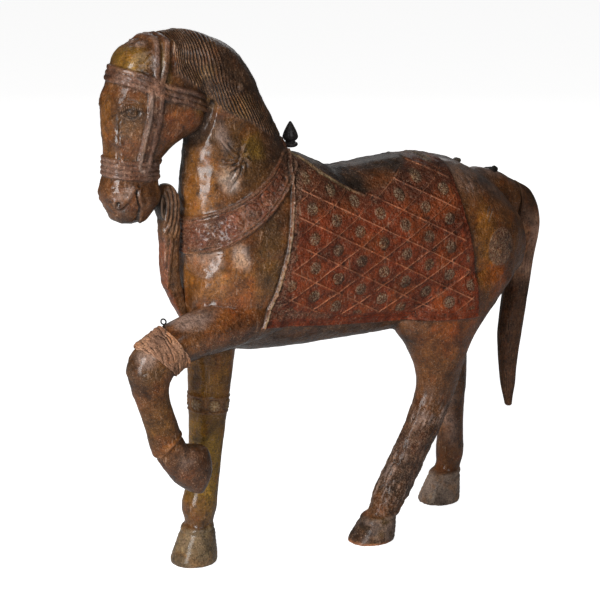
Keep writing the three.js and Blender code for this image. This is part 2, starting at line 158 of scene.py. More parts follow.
LEFT_HIND = [
    [94, 440, 341, 430, 58, -48], [94, 372, 269, 358, 51, -54], [117, 335, 243, 322, 43, -56],
    [139, 288, 226, 280, 35, -56], [141, 250, 213, 240, 30, -55], [118, 194, 184, 178, 26, -55],
    [88, 142, 150, 122, 25, -55], [56, 84, 118, 68, 26, -55], [46, 54, 94, 38, 24, -55],
    [27, 34, 91, 28, 32, -55], [5, 4, 88, 4, 37, -55], [3, 0, 88, 0, 37, -55],
]
RIGHT_HIND = [
    [160, 440, 322, 430, 56, 46], [176, 372, 316, 340, 46, 50], [214, 300, 316, 276, 36, 48],
    [252, 230, 313, 222, 28, 44], [262, 160, 307, 156, 23, 42], [258, 96, 307, 90, 25, 41],
    [258, 66, 300, 58, 22, 41], [243, 46, 300, 40, 30, 41], [222, 4, 298, 4, 37, 41],
    [220, 0, 298, 0, 37, 41],
]
DOCK = [[290, 616, 290, 520, 30, 0], [335, 606, 335, 520, 27, 0], [381, 580, 381, 514, 24, 0]]
LIMBS = (TORSO, NECK, HEAD, LEFT_FORE, RIGHT_FORE, LEFT_HIND, RIGHT_HIND, DOCK)
print("stations along each limb:", [len(limb) for limb in LIMBS])

# %% [markdown]
# ## A tube through its stations
# Between two stations the limb swells and thins evenly, so the rings are taken from a smooth curve
# through the rows of numbers. A power above 2 makes a ring squarer, and a dome rounds off an end.

# %% Tubes
MM = 0.001
DOME_RINGS = 6


def through(rows, share):
    """Places on a smooth curve through rows, where share runs from 0 to 1."""
    rows = np.array(rows, float)
    ends = np.vstack([2 * rows[0] - rows[1], rows, 2 * rows[-1] - rows[-2]])
    step = np.clip(np.asarray(share, float), 0, 1) * (len(rows) - 1)
    first = np.minimum(step.astype(int), len(rows) - 2)
    u = (step - first)[..., None]
    a, b, c, d = (ends[first + k] for k in range(4))
    bend = (2 * a - 5 * b + 4 * c - d) * u ** 2 + (3 * b - a - 3 * c + d) * u ** 3
    return (2 * b + (c - a) * u + bend) / 2


def section(row, swell=0, shrink=1, shift=Vector()):
    """The matrix that carries a circle of radius 1 to a section of a limb."""
    edge_a, edge_b = Vector((row[0], row[5], row[1])), Vector((row[2], row[5], row[3]))
    arm = (edge_a - edge_b) / 2
    arm = arm.normalized() * (arm.length + swell) * shrink
    across = Vector((0, (row[4] + swell) * shrink, 0))
    turned = Matrix((arm, across, arm.cross(across).normalized())).transposed().to_4x4()
    turned.translation = (edge_a + edge_b) / 2 + shift
    return Matrix.Scale(MM, 4) @ turned


def dome(last, before, height, swell):
    """Sections that round off the end of a tube."""
    middle = [Vector(((r[0] + r[2]) / 2, r[5], (r[1] + r[3]) / 2)) for r in (last, before)]
    out = (middle[0] - middle[1]).normalized() * (height + swell)
    turns = [math.pi / 2 * k / DOME_RINGS for k in range(1, DOME_RINGS)]
    return [section(last, swell, math.cos(turn), out * math.sin(turn)) for turn in turns]


def tube(name, stations, sides=48, cuts=5, power=2.0, domes=(0, 0), swell=0, part=(0, 1)):
    """A closed tube, extruded ring by ring through the stations, or through a part of them."""
    count = max(2, round((len(stations) - 1) * cuts * (part[1] - part[0])))
    rows = through(stations, np.linspace(*part, count + 1))
    rings = [section(row, swell) for row in rows]
    if domes[0]:
        rings = dome(rows[0], rows[1], domes[0], swell)[::-1] + rings
    if domes[1]:
        rings = rings + dome(rows[-1], rows[-2], domes[1], swell)
    bpy.ops.object.select_all(action="DESELECT")
    bpy.ops.mesh.primitive_circle_add(vertices=sides, radius=1, fill_type="NGON")
    piece = bpy.context.object
    piece.name = name
    for vertex in piece.data.vertices:
        for axis in range(2):
            value = vertex.co[axis]
            vertex.co[axis] = math.copysign(abs(value) ** (2 / power), value)
    piece.data.transform(rings[0])
    bpy.ops.object.mode_set(mode="EDIT")
    bpy.ops.mesh.select_all(action="SELECT")
    for before, after in zip(rings, rings[1:]):
        bpy.ops.mesh.extrude_region_move()
        cage = bmesh.from_edit_mesh(piece.data)
        ring = [v for v in cage.verts if v.select]
        bmesh.ops.transform(cage, matrix=after @ before.inverted(), verts=ring)
    bpy.ops.mesh.select_all(action="SELECT")
    bpy.ops.mesh.normals_make_consistent(inside=False)
    bpy.ops.object.mode_set(mode="OBJECT")
    return piece


stock = [
    tube("horse", TORSO, sides=64, power=2.25, domes=(16, 26)),
    tube("neck", NECK),
    tube("head", HEAD, power=2.6, domes=(10, 12)),
    tube("left_fore", LEFT_FORE, domes=(30, 0)),
    tube("right_fore", RIGHT_FORE, domes=(40, 0)),
    tube("left_hind", LEFT_HIND, domes=(80, 0)),
    tube("right_hind", RIGHT_HIND, domes=(80, 0)),
    tube("dock", DOCK),
]
print("limbs roughed out:", [piece.name for piece in stock])

# %% [markdown]
# ## One block
# The limbs are one piece of wood, so the tubes are joined and given one skin. A voxel Remesh makes
# a single even mesh of them, and a Smooth modifier rounds the inner corners where one limb runs
# into the next, as a rasp would.

# %% Joining the limbs
VOXEL = 0.0026
RASP_STROKES = 14


def use(piece):
    """Selects one piece alone and makes it active."""
    bpy.ops.object.select_all(action="DESELECT")
    piece.select_set(True)
    bpy.context.view_layer.objects.active = piece


def apply_modifier(piece, kind, **settings):
    """Adds a modifier to a piece and applies it."""
    use(piece)
    modifier = piece.modifiers.new(kind.lower(), kind)
    for name, value in settings.items():
        setattr(modifier, name, value)
    bpy.ops.object.modifier_apply(modifier=modifier.name)


horse = stock[0]
use(horse)
for piece in stock:
    piece.select_set(True)
bpy.ops.object.join()
apply_modifier(horse, "REMESH", mode="VOXEL", voxel_size=VOXEL)
apply_modifier(horse, "SMOOTH", factor=0.5, iterations=RASP_STROKES)
print("skin of the horse:", len(horse.data.polygons), "faces")

# %% [markdown]
# ## Tools for carving
# Sculpting by hand has no operator that a script can call, so the carving is worked out as a
# height over the stock at every vertex, and each vertex is pushed along its normal. Nearly all of
# the work on this horse was cut from the side, so a cut is a line or a field of the side view.
# These helpers give the distance from such a line or field, and the profiles of the cutting tools.
# Each part of the carving is tried out on a sample of the points before the whole block is cut.

# %% Lines and fields


def fade(value, low, high):
    """Rises smoothly from 0 at low to 1 at high."""
    share = np.clip((value - low) / (high - low), 0, 1)
    return share * share * (3 - 2 * share)


def beside(x, z, line, cuts=6):
    """The signed distance of places from a smooth line, and how far along it they lie."""
    path = through(line, np.linspace(0, 1, (len(line) - 1) * cuts + 1))
    gap, along, passed = np.full(len(x), 1e6), np.zeros(len(x)), 0.0
    for (x0, z0), (x1, z1) in zip(path, path[1:]):
        dx, dz = x1 - x0, z1 - z0
        length = math.hypot(dx, dz)
        u = np.clip(((x - x0) * dx + (z - z0) * dz) / length ** 2, 0, 1)
        here = np.hypot(x - x0 - u * dx, z - z0 - u * dz)
        closer = here < np.abs(gap)
        side = np.where(dx * (z - z0) - dz * (x - x0) > 0, 1, -1)
        gap = np.where(closer, here * side, gap)
        along = np.where(closer, passed + u * length, along)
        passed += length
    return gap, along


def within(x, z, outline):
    """How deep places lie inside an outline of the side view; less than 0 outside it."""
    gap, inside = np.full(len(x), 1e6), np.zeros(len(x), bool)
    for (x0, z0), (x1, z1) in zip(outline, outline[1:] + outline[:1]):
        dx, dz = x1 - x0, z1 - z0
        u = np.clip(((x - x0) * dx + (z - z0) * dz) / (dx * dx + dz * dz), 0, 1)
        gap = np.minimum(gap, np.hypot(x - x0 - u * dx, z - z0 - u * dz))
        crosses = (z0 > z) != (z1 > z)
        inside ^= crosses & (x < x0 + (z - z0) * dx / (dz if dz else 1e-9))
    return np.where(inside, gap, -gap)


upright = [(0, 0), (0, 10)]
print("3 mm left of an upright line:", beside(np.array([-3.0]), np.array([5.0]), upright)[0], "mm")

# %% Profiles and unevenness
SAMPLE = 40


def strap(gap, half, soft=1.4):
    """1 on a strap, 0 beside it."""
    return 1 - fade(np.abs(gap), half - soft, half + soft)


def bead(gap, half):
    """The round profile of a bead."""
    return np.sqrt(np.clip(1 - (gap / half) ** 2, 0, 1))


def gouge(gap, half):
    """The hollow profile of a gouge cut."""
    return np.clip(1 - (gap / half) ** 2, 0, 1)


def scatter(cells, seed):
    """A fixed value between 0 and 1 for each row of whole numbers."""
    weights = np.array([127.1, 311.7, 74.7])[:cells.shape[1]]
    return np.modf(np.abs(np.sin(cells @ weights + seed * 17.3) * 43758.5453))[0]


def uneven(places, size, seed=0):
    """Smooth unevenness between -1 and 1, with humps about size apart."""
    spot = places / size
    cell = np.floor(spot)
    part = spot - cell
    part = part * part * (3 - 2 * part)
    total = 0
    for corner in np.ndindex(*(2,) * places.shape[1]):
        weight = np.prod(np.where(corner, part, 1 - part), axis=1)
        total = total + weight * scatter(cell + corner, seed)
    return 2 * total - 1


def chips(u, v, size, seed=0):
    """Round chips side by side: 1 in the middle of each, falling to 0 at its rim."""
    places = np.stack([u, v], 1) / size
    cell = np.floor(places)
    best = np.full(len(places), 9.0)
    for step in np.ndindex(3, 3):
        other = cell + np.array(step) - 1
        middle = other + np.stack([scatter(other, seed), scatter(other, seed + 1)], 1)
        best = np.minimum(best, np.hypot(*(places - middle).T))
    return np.clip(1 - best / 0.7, 0, 1)


def flower(gap_u, gap_v, radius, petals, turn=0.0):
    """A small carved flower: petals round a middle, inside a cut ring."""
    r, angle = np.hypot(gap_u, gap_v) / radius, np.arctan2(gap_v, gap_u) + turn
    leaf = np.exp(-((r - 0.6) / 0.24) ** 2) * (0.5 + 0.5 * np.cos(petals * angle))
    return leaf + np.exp(-(r / 0.22) ** 2) - 0.7 * np.exp(-((r - 1.05) / 0.13) ** 2)


def points_of(mesh):
    """The vertices of a mesh in millimetres, as an array of rows."""
    flat = np.empty(len(mesh.vertices) * 3, np.float32)
    mesh.vertices.foreach_get("co", flat)
    return flat.reshape(-1, 3).astype(float) / MM


def try_out(name, carve):
    """Carves a sample of the skin's points, and prints how deep and how high the work goes."""
    height, _ = carve(points_of(horse.data)[::SAMPLE])
    print(name, "from", round(height.min(), 1), "to", round(height.max(), 1), "mm")


try_out("tool marks", lambda points: (uneven(points, 9, 3), {}))

# %% [markdown]
# ## The mane
# The mane is a raised field on both sides of the crest, cut into strands that fall in a shallow S.
# A strand is a rounded ridge between two gouge cuts, so the height follows a wave across the fall,
# bent by a slower wave along it. Every fourth cut goes deeper and parts the locks.

# %% Mane
MANE = [
    (-322, 960), (-327, 846), (-301, 828), (-262, 800), (-240, 777), (-220, 766), (-188, 752),
    (-152, 726), (-118, 716), (-60, 960),
]
STRAND = 7.2
BEND = 55
SMALL_KNOT = (-208, 811)


def carve_mane(p):
    """The mane's height at places p, and what each place is."""
    x, y, z = p.T
    depth = within(x, z, MANE)
    field = fade(depth, -1, 4) * (np.abs(y) < 75)
    sweep = 0.55 * np.clip(BEND - depth, 0, 75) ** 2 / BEND
    across = x - sweep + 1.5 * np.sin(z / 7 + x / 11) + 2.0 * uneven(p, 22, 3)
    ridge = np.abs(np.sin(math.pi * across / STRAND)) ** 0.8
    lock = np.abs(np.sin(math.pi * across / (STRAND * 4) + 0.6)) ** 0.4
    crisp = 1 - 0.92 * fade(depth, 18, 52) * fade(x, -275, -228)
    height = field * (0.6 + crisp * (2.2 * ridge + 0.8 * lock))
    height += 3.2 * bead(np.hypot(x - SMALL_KNOT[0], z - SMALL_KNOT[1]), 7) * (np.abs(y) > 20)
    marks = {"mane": field, "strand": field * ridge * crisp}
    marks.update({"combed": field * crisp, "hair": across / STRAND})
    return height, marks


try_out("mane", carve_mane)

# %% [markdown]
# ## The bridle
# Straps lie round the brow and the nose, over the poll, down each cheek and back under the throat.
# On the wood they are flat bands that stand proud, with beads worked along them. One function lays
# any strap, from its line in the side view, its half width, a bead's half width and the places of
# the beads across it.

# %% Bridle
STRAPS = [
    ([(-452, 850), (-425, 848), (-399, 842), (-372, 832), (-358, 825)], 13, 4.4, (-8.8, 0, 8.8)),
    ([(-352, 822), (-325, 812), (-300, 805), (-262, 788), (-238, 776)], 13, 3.6, (-9, -1.5, 8)),
    ([(-470, 705), (-425, 700), (-385, 694), (-350, 690), (-310, 690)], 15.5, 3.9, (-12, -4, 4, 12)),
    ([(-344, 940), (-348, 900), (-354, 876), (-357, 850), (-359, 828)], 5, 5.0, (0,)),
    ([(-322, 940), (-332, 900), (-339, 870), (-343, 852), (-352, 828)], 5, 5.0, (0,)),
    ([(-360, 818), (-362, 795), (-366, 760), (-376, 702)], 13, 4.6, (-9, 9)),
]
BOSS = (-356, 823)
HEAD_OUTLINE = [
    (-470, 940), (-470, 580), (-330, 580), (-318, 700), (-268, 738), (-257, 768), (-257, 795),
    (-275, 822), (-300, 850), (-314, 940),
]
JAW_EDGE = [(-260, 786), (-262, 772), (-269, 747), (-278, 728)]


def carve_bridle(p):
    """The bridle's height at places p, and what each place is."""
    x, y, z = p.T
    head = fade(within(x, z, HEAD_OUTLINE), -1, 9)
    height, mask, cords = np.zeros(len(p)), np.zeros(len(p)), np.zeros(len(p))
    for line, half, cord_half, offsets in STRAPS:
        gap, _ = beside(x, z, line)
        body = strap(gap, half)
        ridges = sum(bead(gap - offset, cord_half) for offset in offsets)
        height = np.maximum(height, body * (1.6 + 2.2 * ridges))
        mask = np.maximum(mask, body)
        cords = np.maximum(cords, body * ridges)
    cheek_gap, _ = beside(x, z, STRAPS[-1][0])
    # The front cord of the cheek strap, where a painted highlight goes.
    front_cord_highlight = head * bead(cheek_gap + 9, 3) * (z < 815)
    boss = bead(np.hypot(x - BOSS[0], z - BOSS[1]), 8.5)
    height = np.maximum(height, 5.5 * boss) + 0.6 * mask * uneven(p, 5, 8)
    jaw, _ = beside(x, z, JAW_EDGE)
    crease = gouge(jaw - 3, 9) * (np.abs(y) < 46)
    marks = {"strap": head * mask, "cord": head * cords, "front_cord_highlight": front_cord_highlight, "crease": crease}
    return head * height - 5 * crease, marks


try_out("bridle", carve_bridle)

# %% [markdown]
# ## The face
# An almond eye with a notched upper lid, a seam from its corner down the face, a wing and a hole
# for the nostril and a long cut for the mouth. These sit on the rounded front of the head, so they
# are laid out in a view from half way round, where u runs across the cheek and z up. A low swelling
# lies before each eye. The ears broke off long ago and left two rough lumps.

# %% Face
HALF_TURN = (0.84, 0.54)
EYE = {"u": -314, "z": 789, "half": 17, "upper": 6, "lower": 10, "ball": 7.5}
SEAM = [(-329, 784), (-331, 765), (-331, 740), (-330, 714)]
NOSTRIL = [(-310, 668), (-319, 655), (-327, 645), (-337, 639), (-344, 644)]
NOSTRIL_HOLE = (-337.5, 643)
MOUTH = [(-308, 664), (-306, 646), (-304, 636), (-306, 625), (-313, 606)]
LOST_EAR = (-368, 14, 890)
BROW = (-410, 30, 802)


def carve_face(p):
    """The face's height at places p, and what each place is."""
    x, y, z = p.T
    side = fade(np.abs(y), 9, 16)
    u = HALF_TURN[0] * x + HALF_TURN[1] * np.abs(y)
    front = side * (x < -345) * (z < 840)
    du, dz = u - EYE["u"], z - EYE["z"]
    arch = np.clip(1 - (du / EYE["half"]) ** 2, 0, 1)
    rim = np.where(dz > 0, dz - EYE["upper"] * arch, -dz - EYE["lower"] * arch)
    reach = fade(np.abs(du), EYE["half"] + 5, EYE["half"] - 1)
    notches = 0.6 + 0.4 * np.cos(2 * math.pi * du / 3.2) * (dz > 0)
    from_ball = np.hypot(du - 2.5, dz + 0.5)
    lid = np.where(dz > 0, 2.6 * bead(rim - 2.5, 3.4) * notches, 1.5 * bead(rim - 1, 1.8))
    eye = reach * (lid - 1.5 * fade(-rim, 0, 3) + 1.2 * bead(rim - 9, 3.4) * (dz > 0))
    eye += 3.8 * bead(from_ball, EYE["ball"]) - 1.2 * gouge(from_ball, 3.2)
    seam, _ = beside(u, z, SEAM)
    seam_cut = (1.6 * bead(seam, 3.4) - 1.3 * gouge(seam + 5, 2.6)) * (0.6 + 0.8 * uneven(p, 3.4, 5))
    wing, _ = beside(u, z, NOSTRIL)
    hole = np.hypot(u - NOSTRIL_HOLE[0], (z - NOSTRIL_HOLE[1]) / 1.3)
    snout = 1.1 * bead(wing, 4) - 1.1 * gouge(wing - 6, 3.5) - 4.5 * gouge(hole, 4.4)
    snout += 1.4 * uneven(p, 8, 31) * fade(u, -312, -322)
    mouth, _ = beside(u, z, MOUTH)
    open_at = 2.0 + 3.0 * fade(z, 640, 606)
    lips = -4.2 * gouge(mouth, open_at) + 0.8 * bead(mouth - 5.5, 2.6)
    height = front * (eye + seam_cut + lips * (z < 668)) + front * (z < 672) * snout
    ear = np.hypot(np.hypot(x - LOST_EAR[0], np.abs(y) - LOST_EAR[1]), z - LOST_EAR[2])
    lump = fade(ear, 14, 4)
    brow = np.hypot(np.hypot(x - BROW[0], np.abs(y) - BROW[1]), z - BROW[2])
    height += 4.0 * fade(brow, 24, 0)
    height += lump * (3.0 + 2.2 * uneven(p, 6, 21) + 1.2 * uneven(p, 3, 22))
    # The cuts of the lids, nostril, mouth and pupil, which are painted black further on as their shade.
    lid_line = 0.8 * reach * gouge(rim, 2.2)
    mouth_line = gouge(mouth, open_at) * (z < 668)
    dark = np.maximum.reduce([gouge(hole, 5), mouth_line, gouge(from_ball, 3), lid_line])
    marks = {"dark": np.clip(front * dark, 0, 1), "lump": lump, "brow": fade(brow, 40, 15)}
    marks["eye"] = front * bead(from_ball, EYE["ball"])
    return height, marks


try_out("face", carve_face)

# %% [markdown]
# ## The breast band
# A broad band slants from the withers across the chest, with a rim along each edge and a row of
# flowers and leaves between. It narrows on its way up.

# %% Breast band
BAND = [(-345, 568), (-298, 570), (-264, 585), (-210, 610), (-165, 639), (-118, 680)]
BAND_HALF, BAND_LENGTH, BAND_PITCH = (31, 17), 290, 34.0


def carve_band(p):
    """The breast band's height at places p, and what each place is."""
    x, _, z = p.T
    gap, along = beside(x, z, BAND)
    half = BAND_HALF[0] + (BAND_HALF[1] - BAND_HALF[0]) * np.clip(along / BAND_LENGTH, 0, 1)
    chest = (x < -100) * (z > 500) * (z < 700)
    body = strap(gap, half) * chest
    rims = bead(np.abs(gap) - half + 2.5, 2.2) + 0.7 * bead(np.abs(gap) - half + 8, 1.6)
    turn = 3 * scatter(np.floor(along / BAND_PITCH)[:, None], 4)
    blossom = flower(np.mod(along, BAND_PITCH) - BAND_PITCH / 2, gap, 12.5, 8, turn)
    leaves = chips(along + 0.4 * gap, gap, 7.5, 6)
    middle = strap(gap, half - 9)
    relief = 2.0 + 1.7 * rims + middle * (1.5 * blossom + 1.1 * leaves - 0.5)
    return body * relief, {"band": body, "band_rim": body * np.clip(rims, 0, 1)}


try_out("breast band", carve_band)

# %% [markdown]
# ## Knot, pendant, roundels and cuff
# A puckered knot shows on the neck above the band: its rays are given by their angle and length, and
# each one waves a little. A worn patch of chip work hangs below the band, a round one is on each hip,
# and a narrow band with flowers, the cuff, goes round the standing foreleg.

# %% Knot, pendant, roundels and cuff
PENDANT = [(-292, 545), (-252, 552), (-262, 522), (-272, 506), (-286, 512)]
KNOT = (-214, 698)
KNOT_RAYS = [(130, 58), (184, 46), (62, 34), (216, 42), (242, 56), (276, 30), (335, 26), (22, 22)]
HIP = {"x": 279, "z": 496, "radius": 29}
LEG_BAND = {"z": 276, "half": 15}
HIP_STRETCH = 1.15
CUFF_MIDDLE, CUFF_PITCH = (-230, 24), 29.3


def knot_ray(angle, length):
    """The waving line of one ray of the knot in the side view."""
    way = np.array([math.cos(math.radians(angle)), math.sin(math.radians(angle))])
    across = np.array([-way[1], way[0]])
    shares = (0.05, 0.4, 0.75, 1)
    return [tuple(np.array(KNOT) + way * length * k + across * 3 * math.sin(4 * k)) for k in shares]


def carve_marks(p):
    """The height of these smaller works at places p, and what each place is."""
    x, y, z = p.T
    height = np.zeros(len(p))
    knot = np.zeros(len(p))
    for angle, length in KNOT_RAYS:
        gap, along = beside(x, z, knot_ray(angle, length))
        taper = fade(along, length * 1.05, length * 0.3)
        knot = knot + taper * (1.7 * bead(gap, 3) - 1.5 * gouge(gap - 4, 2.4) - 1.2 * gouge(gap + 4, 2.2))
    height += np.clip(knot, -2.2, 2.4) * (np.abs(y) > 25)
    pendant = fade(within(x, z, PENDANT), -1, 2) * (np.abs(y) > 8)
    height += pendant * (1.2 + 0.9 * chips(x, z, 5.0, 9))
    hip_x, hip_z = x - HIP["x"], (z - HIP["z"]) / HIP_STRETCH
    hip = np.hypot(hip_x, hip_z) / HIP["radius"]
    roundel = fade(hip, 1.03, 0.93) * (np.abs(y) > 50)
    chip_work = flower(hip_x, hip_z, HIP["radius"] * 0.8, 8)
    hip_chips = chips(x, z, 5.5, 2)
    height += roundel * (1.0 + 1.1 * hip_chips + 0.6 * chip_work)
    slant = z - LEG_BAND["z"] + 0.1 * (x - CUFF_MIDDLE[0])
    leg = (x < -150) * (y > -20) * (z > 200) * (z < 330)
    cuff = strap(slant, LEG_BAND["half"]) * leg
    around = 30 * np.arctan2(y - CUFF_MIDDLE[1], -(x - CUFF_MIDDLE[0]))
    bloom = flower(np.mod(around + 26.6, CUFF_PITCH) - CUFF_PITCH / 2, slant, 10.5, 9)
    cuff_rims = bead(np.abs(slant) - LEG_BAND["half"] + 2, 2)
    height += cuff * (0.9 + 0.9 * cuff_rims + 1.6 * bloom)
    marks = {"pendant": pendant, "cuff": cuff, "bloom": cuff * np.clip(bloom, 0, 1)}
    marks.update({"roundel": roundel, "roundel_chips": roundel * fade(hip_chips, 0.45, 0.7)})
    return height, marks


try_out("knot, pendant, roundels and cuff", carve_marks)

# %% [markdown]
# ## The saddle cloth
# The cloth is carved, not woven: a raised field over the back with a diamond lattice of thin
# fillets, a flower in each diamond, a leafy border down the front, a plain one along the bottom and
# a rim at the front edge, whose lower half is painted pale as a highlight, with a gap before it
# painted black as its shadow. Two families of slanting lines make the lattice. Counting both in
# steps of one diamond gives every point its place in its own diamond, so one flower serves for all.

# %% Saddle cloth
CLOTH = [
    (-108, 760), (-112, 690), (-136, 606), (-150, 545), (-171, 478), (-197, 424), (-69, 405),
    (71, 391), (232, 379), (227, 430), (216, 500), (202, 560), (196, 600), (198, 630), (196, 760),
]
QUILT = [
    (-100, 668), (-124, 606), (-138, 540), (-160, 450), (-60, 425), (71, 410), (220, 396), (216, 440),
    (203, 505), (192, 566), (188, 622), (180, 662), (150, 662), (15, 613), (-22, 628), (-48, 645),
    (-70, 664),
]
FRONT_EDGE, FOOT_EDGE = CLOTH[1:6], CLOTH[5:9]
SEAT_RIM = [(-104, 694), (-86, 681), (-66, 661), (-46, 647), (-18, 629), (13, 613)]
SEAT = [
    (-112, 760), (-92, 686), (-66, 664), (-46, 650), (-18, 632), (13, 616), (60, 622), (110, 645),
    (150, 664), (150, 760),
]
NODE = (-55, 512)
LATTICE_PITCH, LATTICE_SLOPE, FILLET = 48.0, 0.54, 1.6
FLOWER = 10.0


def in_diamond(x, z):
    """The cell of the lattice that places lie in, and where they lie in it, from its middle."""
    lean = LATTICE_SLOPE * (x - NODE[0])
    rising = (z - NODE[1] - lean) / LATTICE_PITCH
    falling = (z - NODE[1] + lean) / LATTICE_PITCH
    part_r, part_f = rising - np.floor(rising), falling - np.floor(falling)
    cell = np.stack([np.floor(rising), np.floor(falling)], 1)
    half = LATTICE_PITCH / 2
    du, dv = (part_f - part_r) * half / LATTICE_SLOPE, (part_r + part_f - 1) * half
    return cell, part_r, part_f, du, dv


def carve_cloth(p):
    """The saddle cloth's height at places p, and what each place is."""
    x, y, z = p.T
    depth = within(x, z, CLOTH)
    body = (z > 365) * (x > -200) * (x < 250)
    cloth = fade(depth, -1.2, 1.2) * body
    inner = within(x, z, QUILT)
    quilt = fade(inner, -1, 2) * body
    cell, part_r, part_f, du, dv = in_diamond(x, z)
    upright = LATTICE_PITCH / math.hypot(1, LATTICE_SLOPE)
    line_gap = np.minimum(np.minimum(part_r, 1 - part_r), np.minimum(part_f, 1 - part_f)) * upright
    fillet = bead(line_gap, FILLET)
    worn = 0.45 + 0.55 * scatter(cell, 3)
    off_u, off_v = du + 2 * scatter(cell, 1) - 1, dv + 3 * scatter(cell, 2) - 1.5
    bloom = flower(off_u, off_v, FLOWER, 7, 6 * scatter(cell, 5))
    rim_gap, _ = beside(x, z, SEAT_RIM)
    rim = bead(rim_gap, 2.6) * (np.abs(y) > 18)
    seat = fade(within(x, z, SEAT), -2, 3) * (np.abs(y) < 84)
    edge_line, _ = beside(x, z, FRONT_EDGE)
    front_rim = bead(edge_line - 1.6, 1.5) * (z > 400)
    foot_line, _ = beside(x, z, FOOT_EDGE)
    foot_rim = bead(np.abs(foot_line) - 14, 1.6) + bead(np.abs(foot_line) - 2.5, 2)
    border = cloth * (1 - quilt) * (1 - seat)
    leafy = border * (x < -60) * fade(np.abs(foot_line), 12, 18)
    leaves = chips(0.8 * x + 0.6 * z, 0.8 * z - 0.6 * x, 8, 12) + uneven(p, 3.6, 2)
    height = 2.6 * cloth + 0.6 * quilt + quilt * (1.2 * fillet + 1.5 * worn * bloom)
    height += border * 0.9 * foot_rim + 2.0 * front_rim * cloth + 1.8 * rim + leafy * 1.3 * leaves
    # The gap before the front edge: cut a little deeper, and painted black further on as its shadow.
    gap_mark = gouge(edge_line + 3.5, 3.5) * (z > 415) * (z < 695)
    height -= 1.2 * gap_mark
    height += cloth * 0.5 * uneven(p, 9, 15)
    marks = {"cloth": cloth, "quilt": quilt, "seat": seat, "leafy": leafy}
    # The rim mark fades out upwards, so that only the lower half gets the painted highlight.
    marks["rim"] = np.clip(front_rim * cloth * fade(z, 660, 520), 0, 1)
    marks.update({"seat_rim": rim, "edge_gap": gap_mark})
    return height, marks


try_out("saddle cloth", carve_cloth)

# %% [markdown]
# ## Hooves, cracks and tool marks
# Each hoof has a raised edge where the leg enters it and faint rings round its wall. The near hind
# shin is split and wrinkled along the grain, and a few scratches lie on the near hip. Everywhere
# the knife left shallow flats of several sizes, and the varnish settled unevenly over them.

# %% Hooves and wear
HOOVES = [((-251, 24), 62), ((60, -55), 42), ((270, 41), 52)]
FLATS = [(46, 0.9), (19, 0.9), (9, 0.7), (5, 0.3)]
RAISED_CORONET = [(-306, 262), (-335, 262), (-362, 247), (-374, 228), (-392, 214)]
SHIN = [(190, 270), (150, 195), (112, 130), (75, 65)]
SCRATCHES = [
    [(269, 561), (260, 553), (254, 543)], [(262, 566), (255, 560), (250, 552)],
    [(214, 622), (219, 610), (219, 596)], [(226, 620), (231, 608), (231, 594)],
    [(238, 616), (243, 605), (243, 592)], [(249, 610), (254, 600), (254, 588)],
]


def carve_wear(p):
    """The height of hooves, splits and tool marks at places p, and what each place is."""
    x, y, z = p.T
    height = sum(deep * uneven(p, size, seed) for seed, (size, deep) in enumerate(FLATS, 1))
    height *= 0.5 + 0.5 * fade(z, 330, 430)
    hoof = np.zeros(len(p))
    for (hx, hy), top in HOOVES:
        here = (np.abs(x - hx) < 75) * (np.abs(y - hy) < 48)
        level = z - top - 0.1 * (x - hx)
        height += here * (1.6 * bead(level, 4) - 1.0 * gouge(level + 6, 2.5))
        hoof = np.maximum(hoof, here * fade(level, 6, 0))
        height += here * fade(level, -4, -12) * 0.35 * np.sin(level * 0.9 + 0.04 * x) * fade(z, 3, 9)
    coronet, _ = beside(x, z, RAISED_CORONET)
    on_raised = (y < -15) * (x < -268) * (z < 300)
    height += on_raised * (1.6 * bead(coronet + 5, 4) - 2.4 * gouge(coronet - 1, 5))
    raised = on_raised * fade(coronet, 0, 4)
    shin, down = beside(x, z, SHIN)
    on_shin = (y < 0) * (x > 20) * fade(z, 275, 195) * (z > 45) * fade(np.abs(shin), 40, 28)
    splits = uneven(np.stack([shin / 3.0, down / 26, y / 3.0], 1), 1.0, 7)
    height += on_shin * (1.1 * splits - 0.9 * (np.abs(splits) < 0.12) + 1.1 * uneven(p, 8, 9))
    scratch = np.zeros(len(p))
    for line in SCRATCHES:
        gap, _ = beside(x, z, line)
        scratch = np.maximum(scratch, gouge(gap, 1.9) * (y < -30))
    height -= 1.1 * scratch
    marks = {"hoof": hoof, "shin": on_shin, "raised": raised, "scratch": scratch}
    marks["split"] = on_shin * fade(np.abs(splits), 0.22, 0.05)
    marks["splinter"] = on_shin * fade(splits, 0.12, 0.4)
    marks["legs"] = fade(z, 420, 330) * (1 - fade(z, 150, 60) * (x < -200))
    marks["haunch"] = fade(x, 205, 265) * fade(z, 330, 380)
    marks["bent_leg"] = fade(x, -330, -370) * (y < -15) * fade(z, 470, 440)
    return height * fade(z, 1, 6), marks


try_out("hooves and wear", carve_wear)

# %% [markdown]
# ## Cutting
# The faces under fine work are subdivided first, so that a fillet three millimetres wide has faces
# of its own. After the cut, a Decimate modifier takes the faces back where the surface is plain.

# %% Faces for the fine work


def fine_work(p):
    """Where the carving is finer than the skin's faces."""
    x, y, z = p.T
    head = (z > 590) & (x < -225)
    mane = within(x, z, MANE) > -4
    cloth = within(x, z, CLOTH) > -8
    chest = (np.abs(beside(x, z, BAND)[0]) < 34) & (z > 500)
    cuff = (np.abs(z - LEG_BAND["z"]) < 22) & (x < -150) & (y > -10)
    hip = np.hypot(x - HIP["x"], z - HIP["z"]) < 36
    return head | mane | (cloth & (z > 370)) | chest | cuff | hip


def face_middles(mesh):
    """The middles of a mesh's faces in millimetres, as an array of rows."""
    flat = np.empty(len(mesh.polygons) * 3, np.float32)
    mesh.polygons.foreach_get("center", flat)
    return flat.reshape(-1, 3).astype(float) / MM


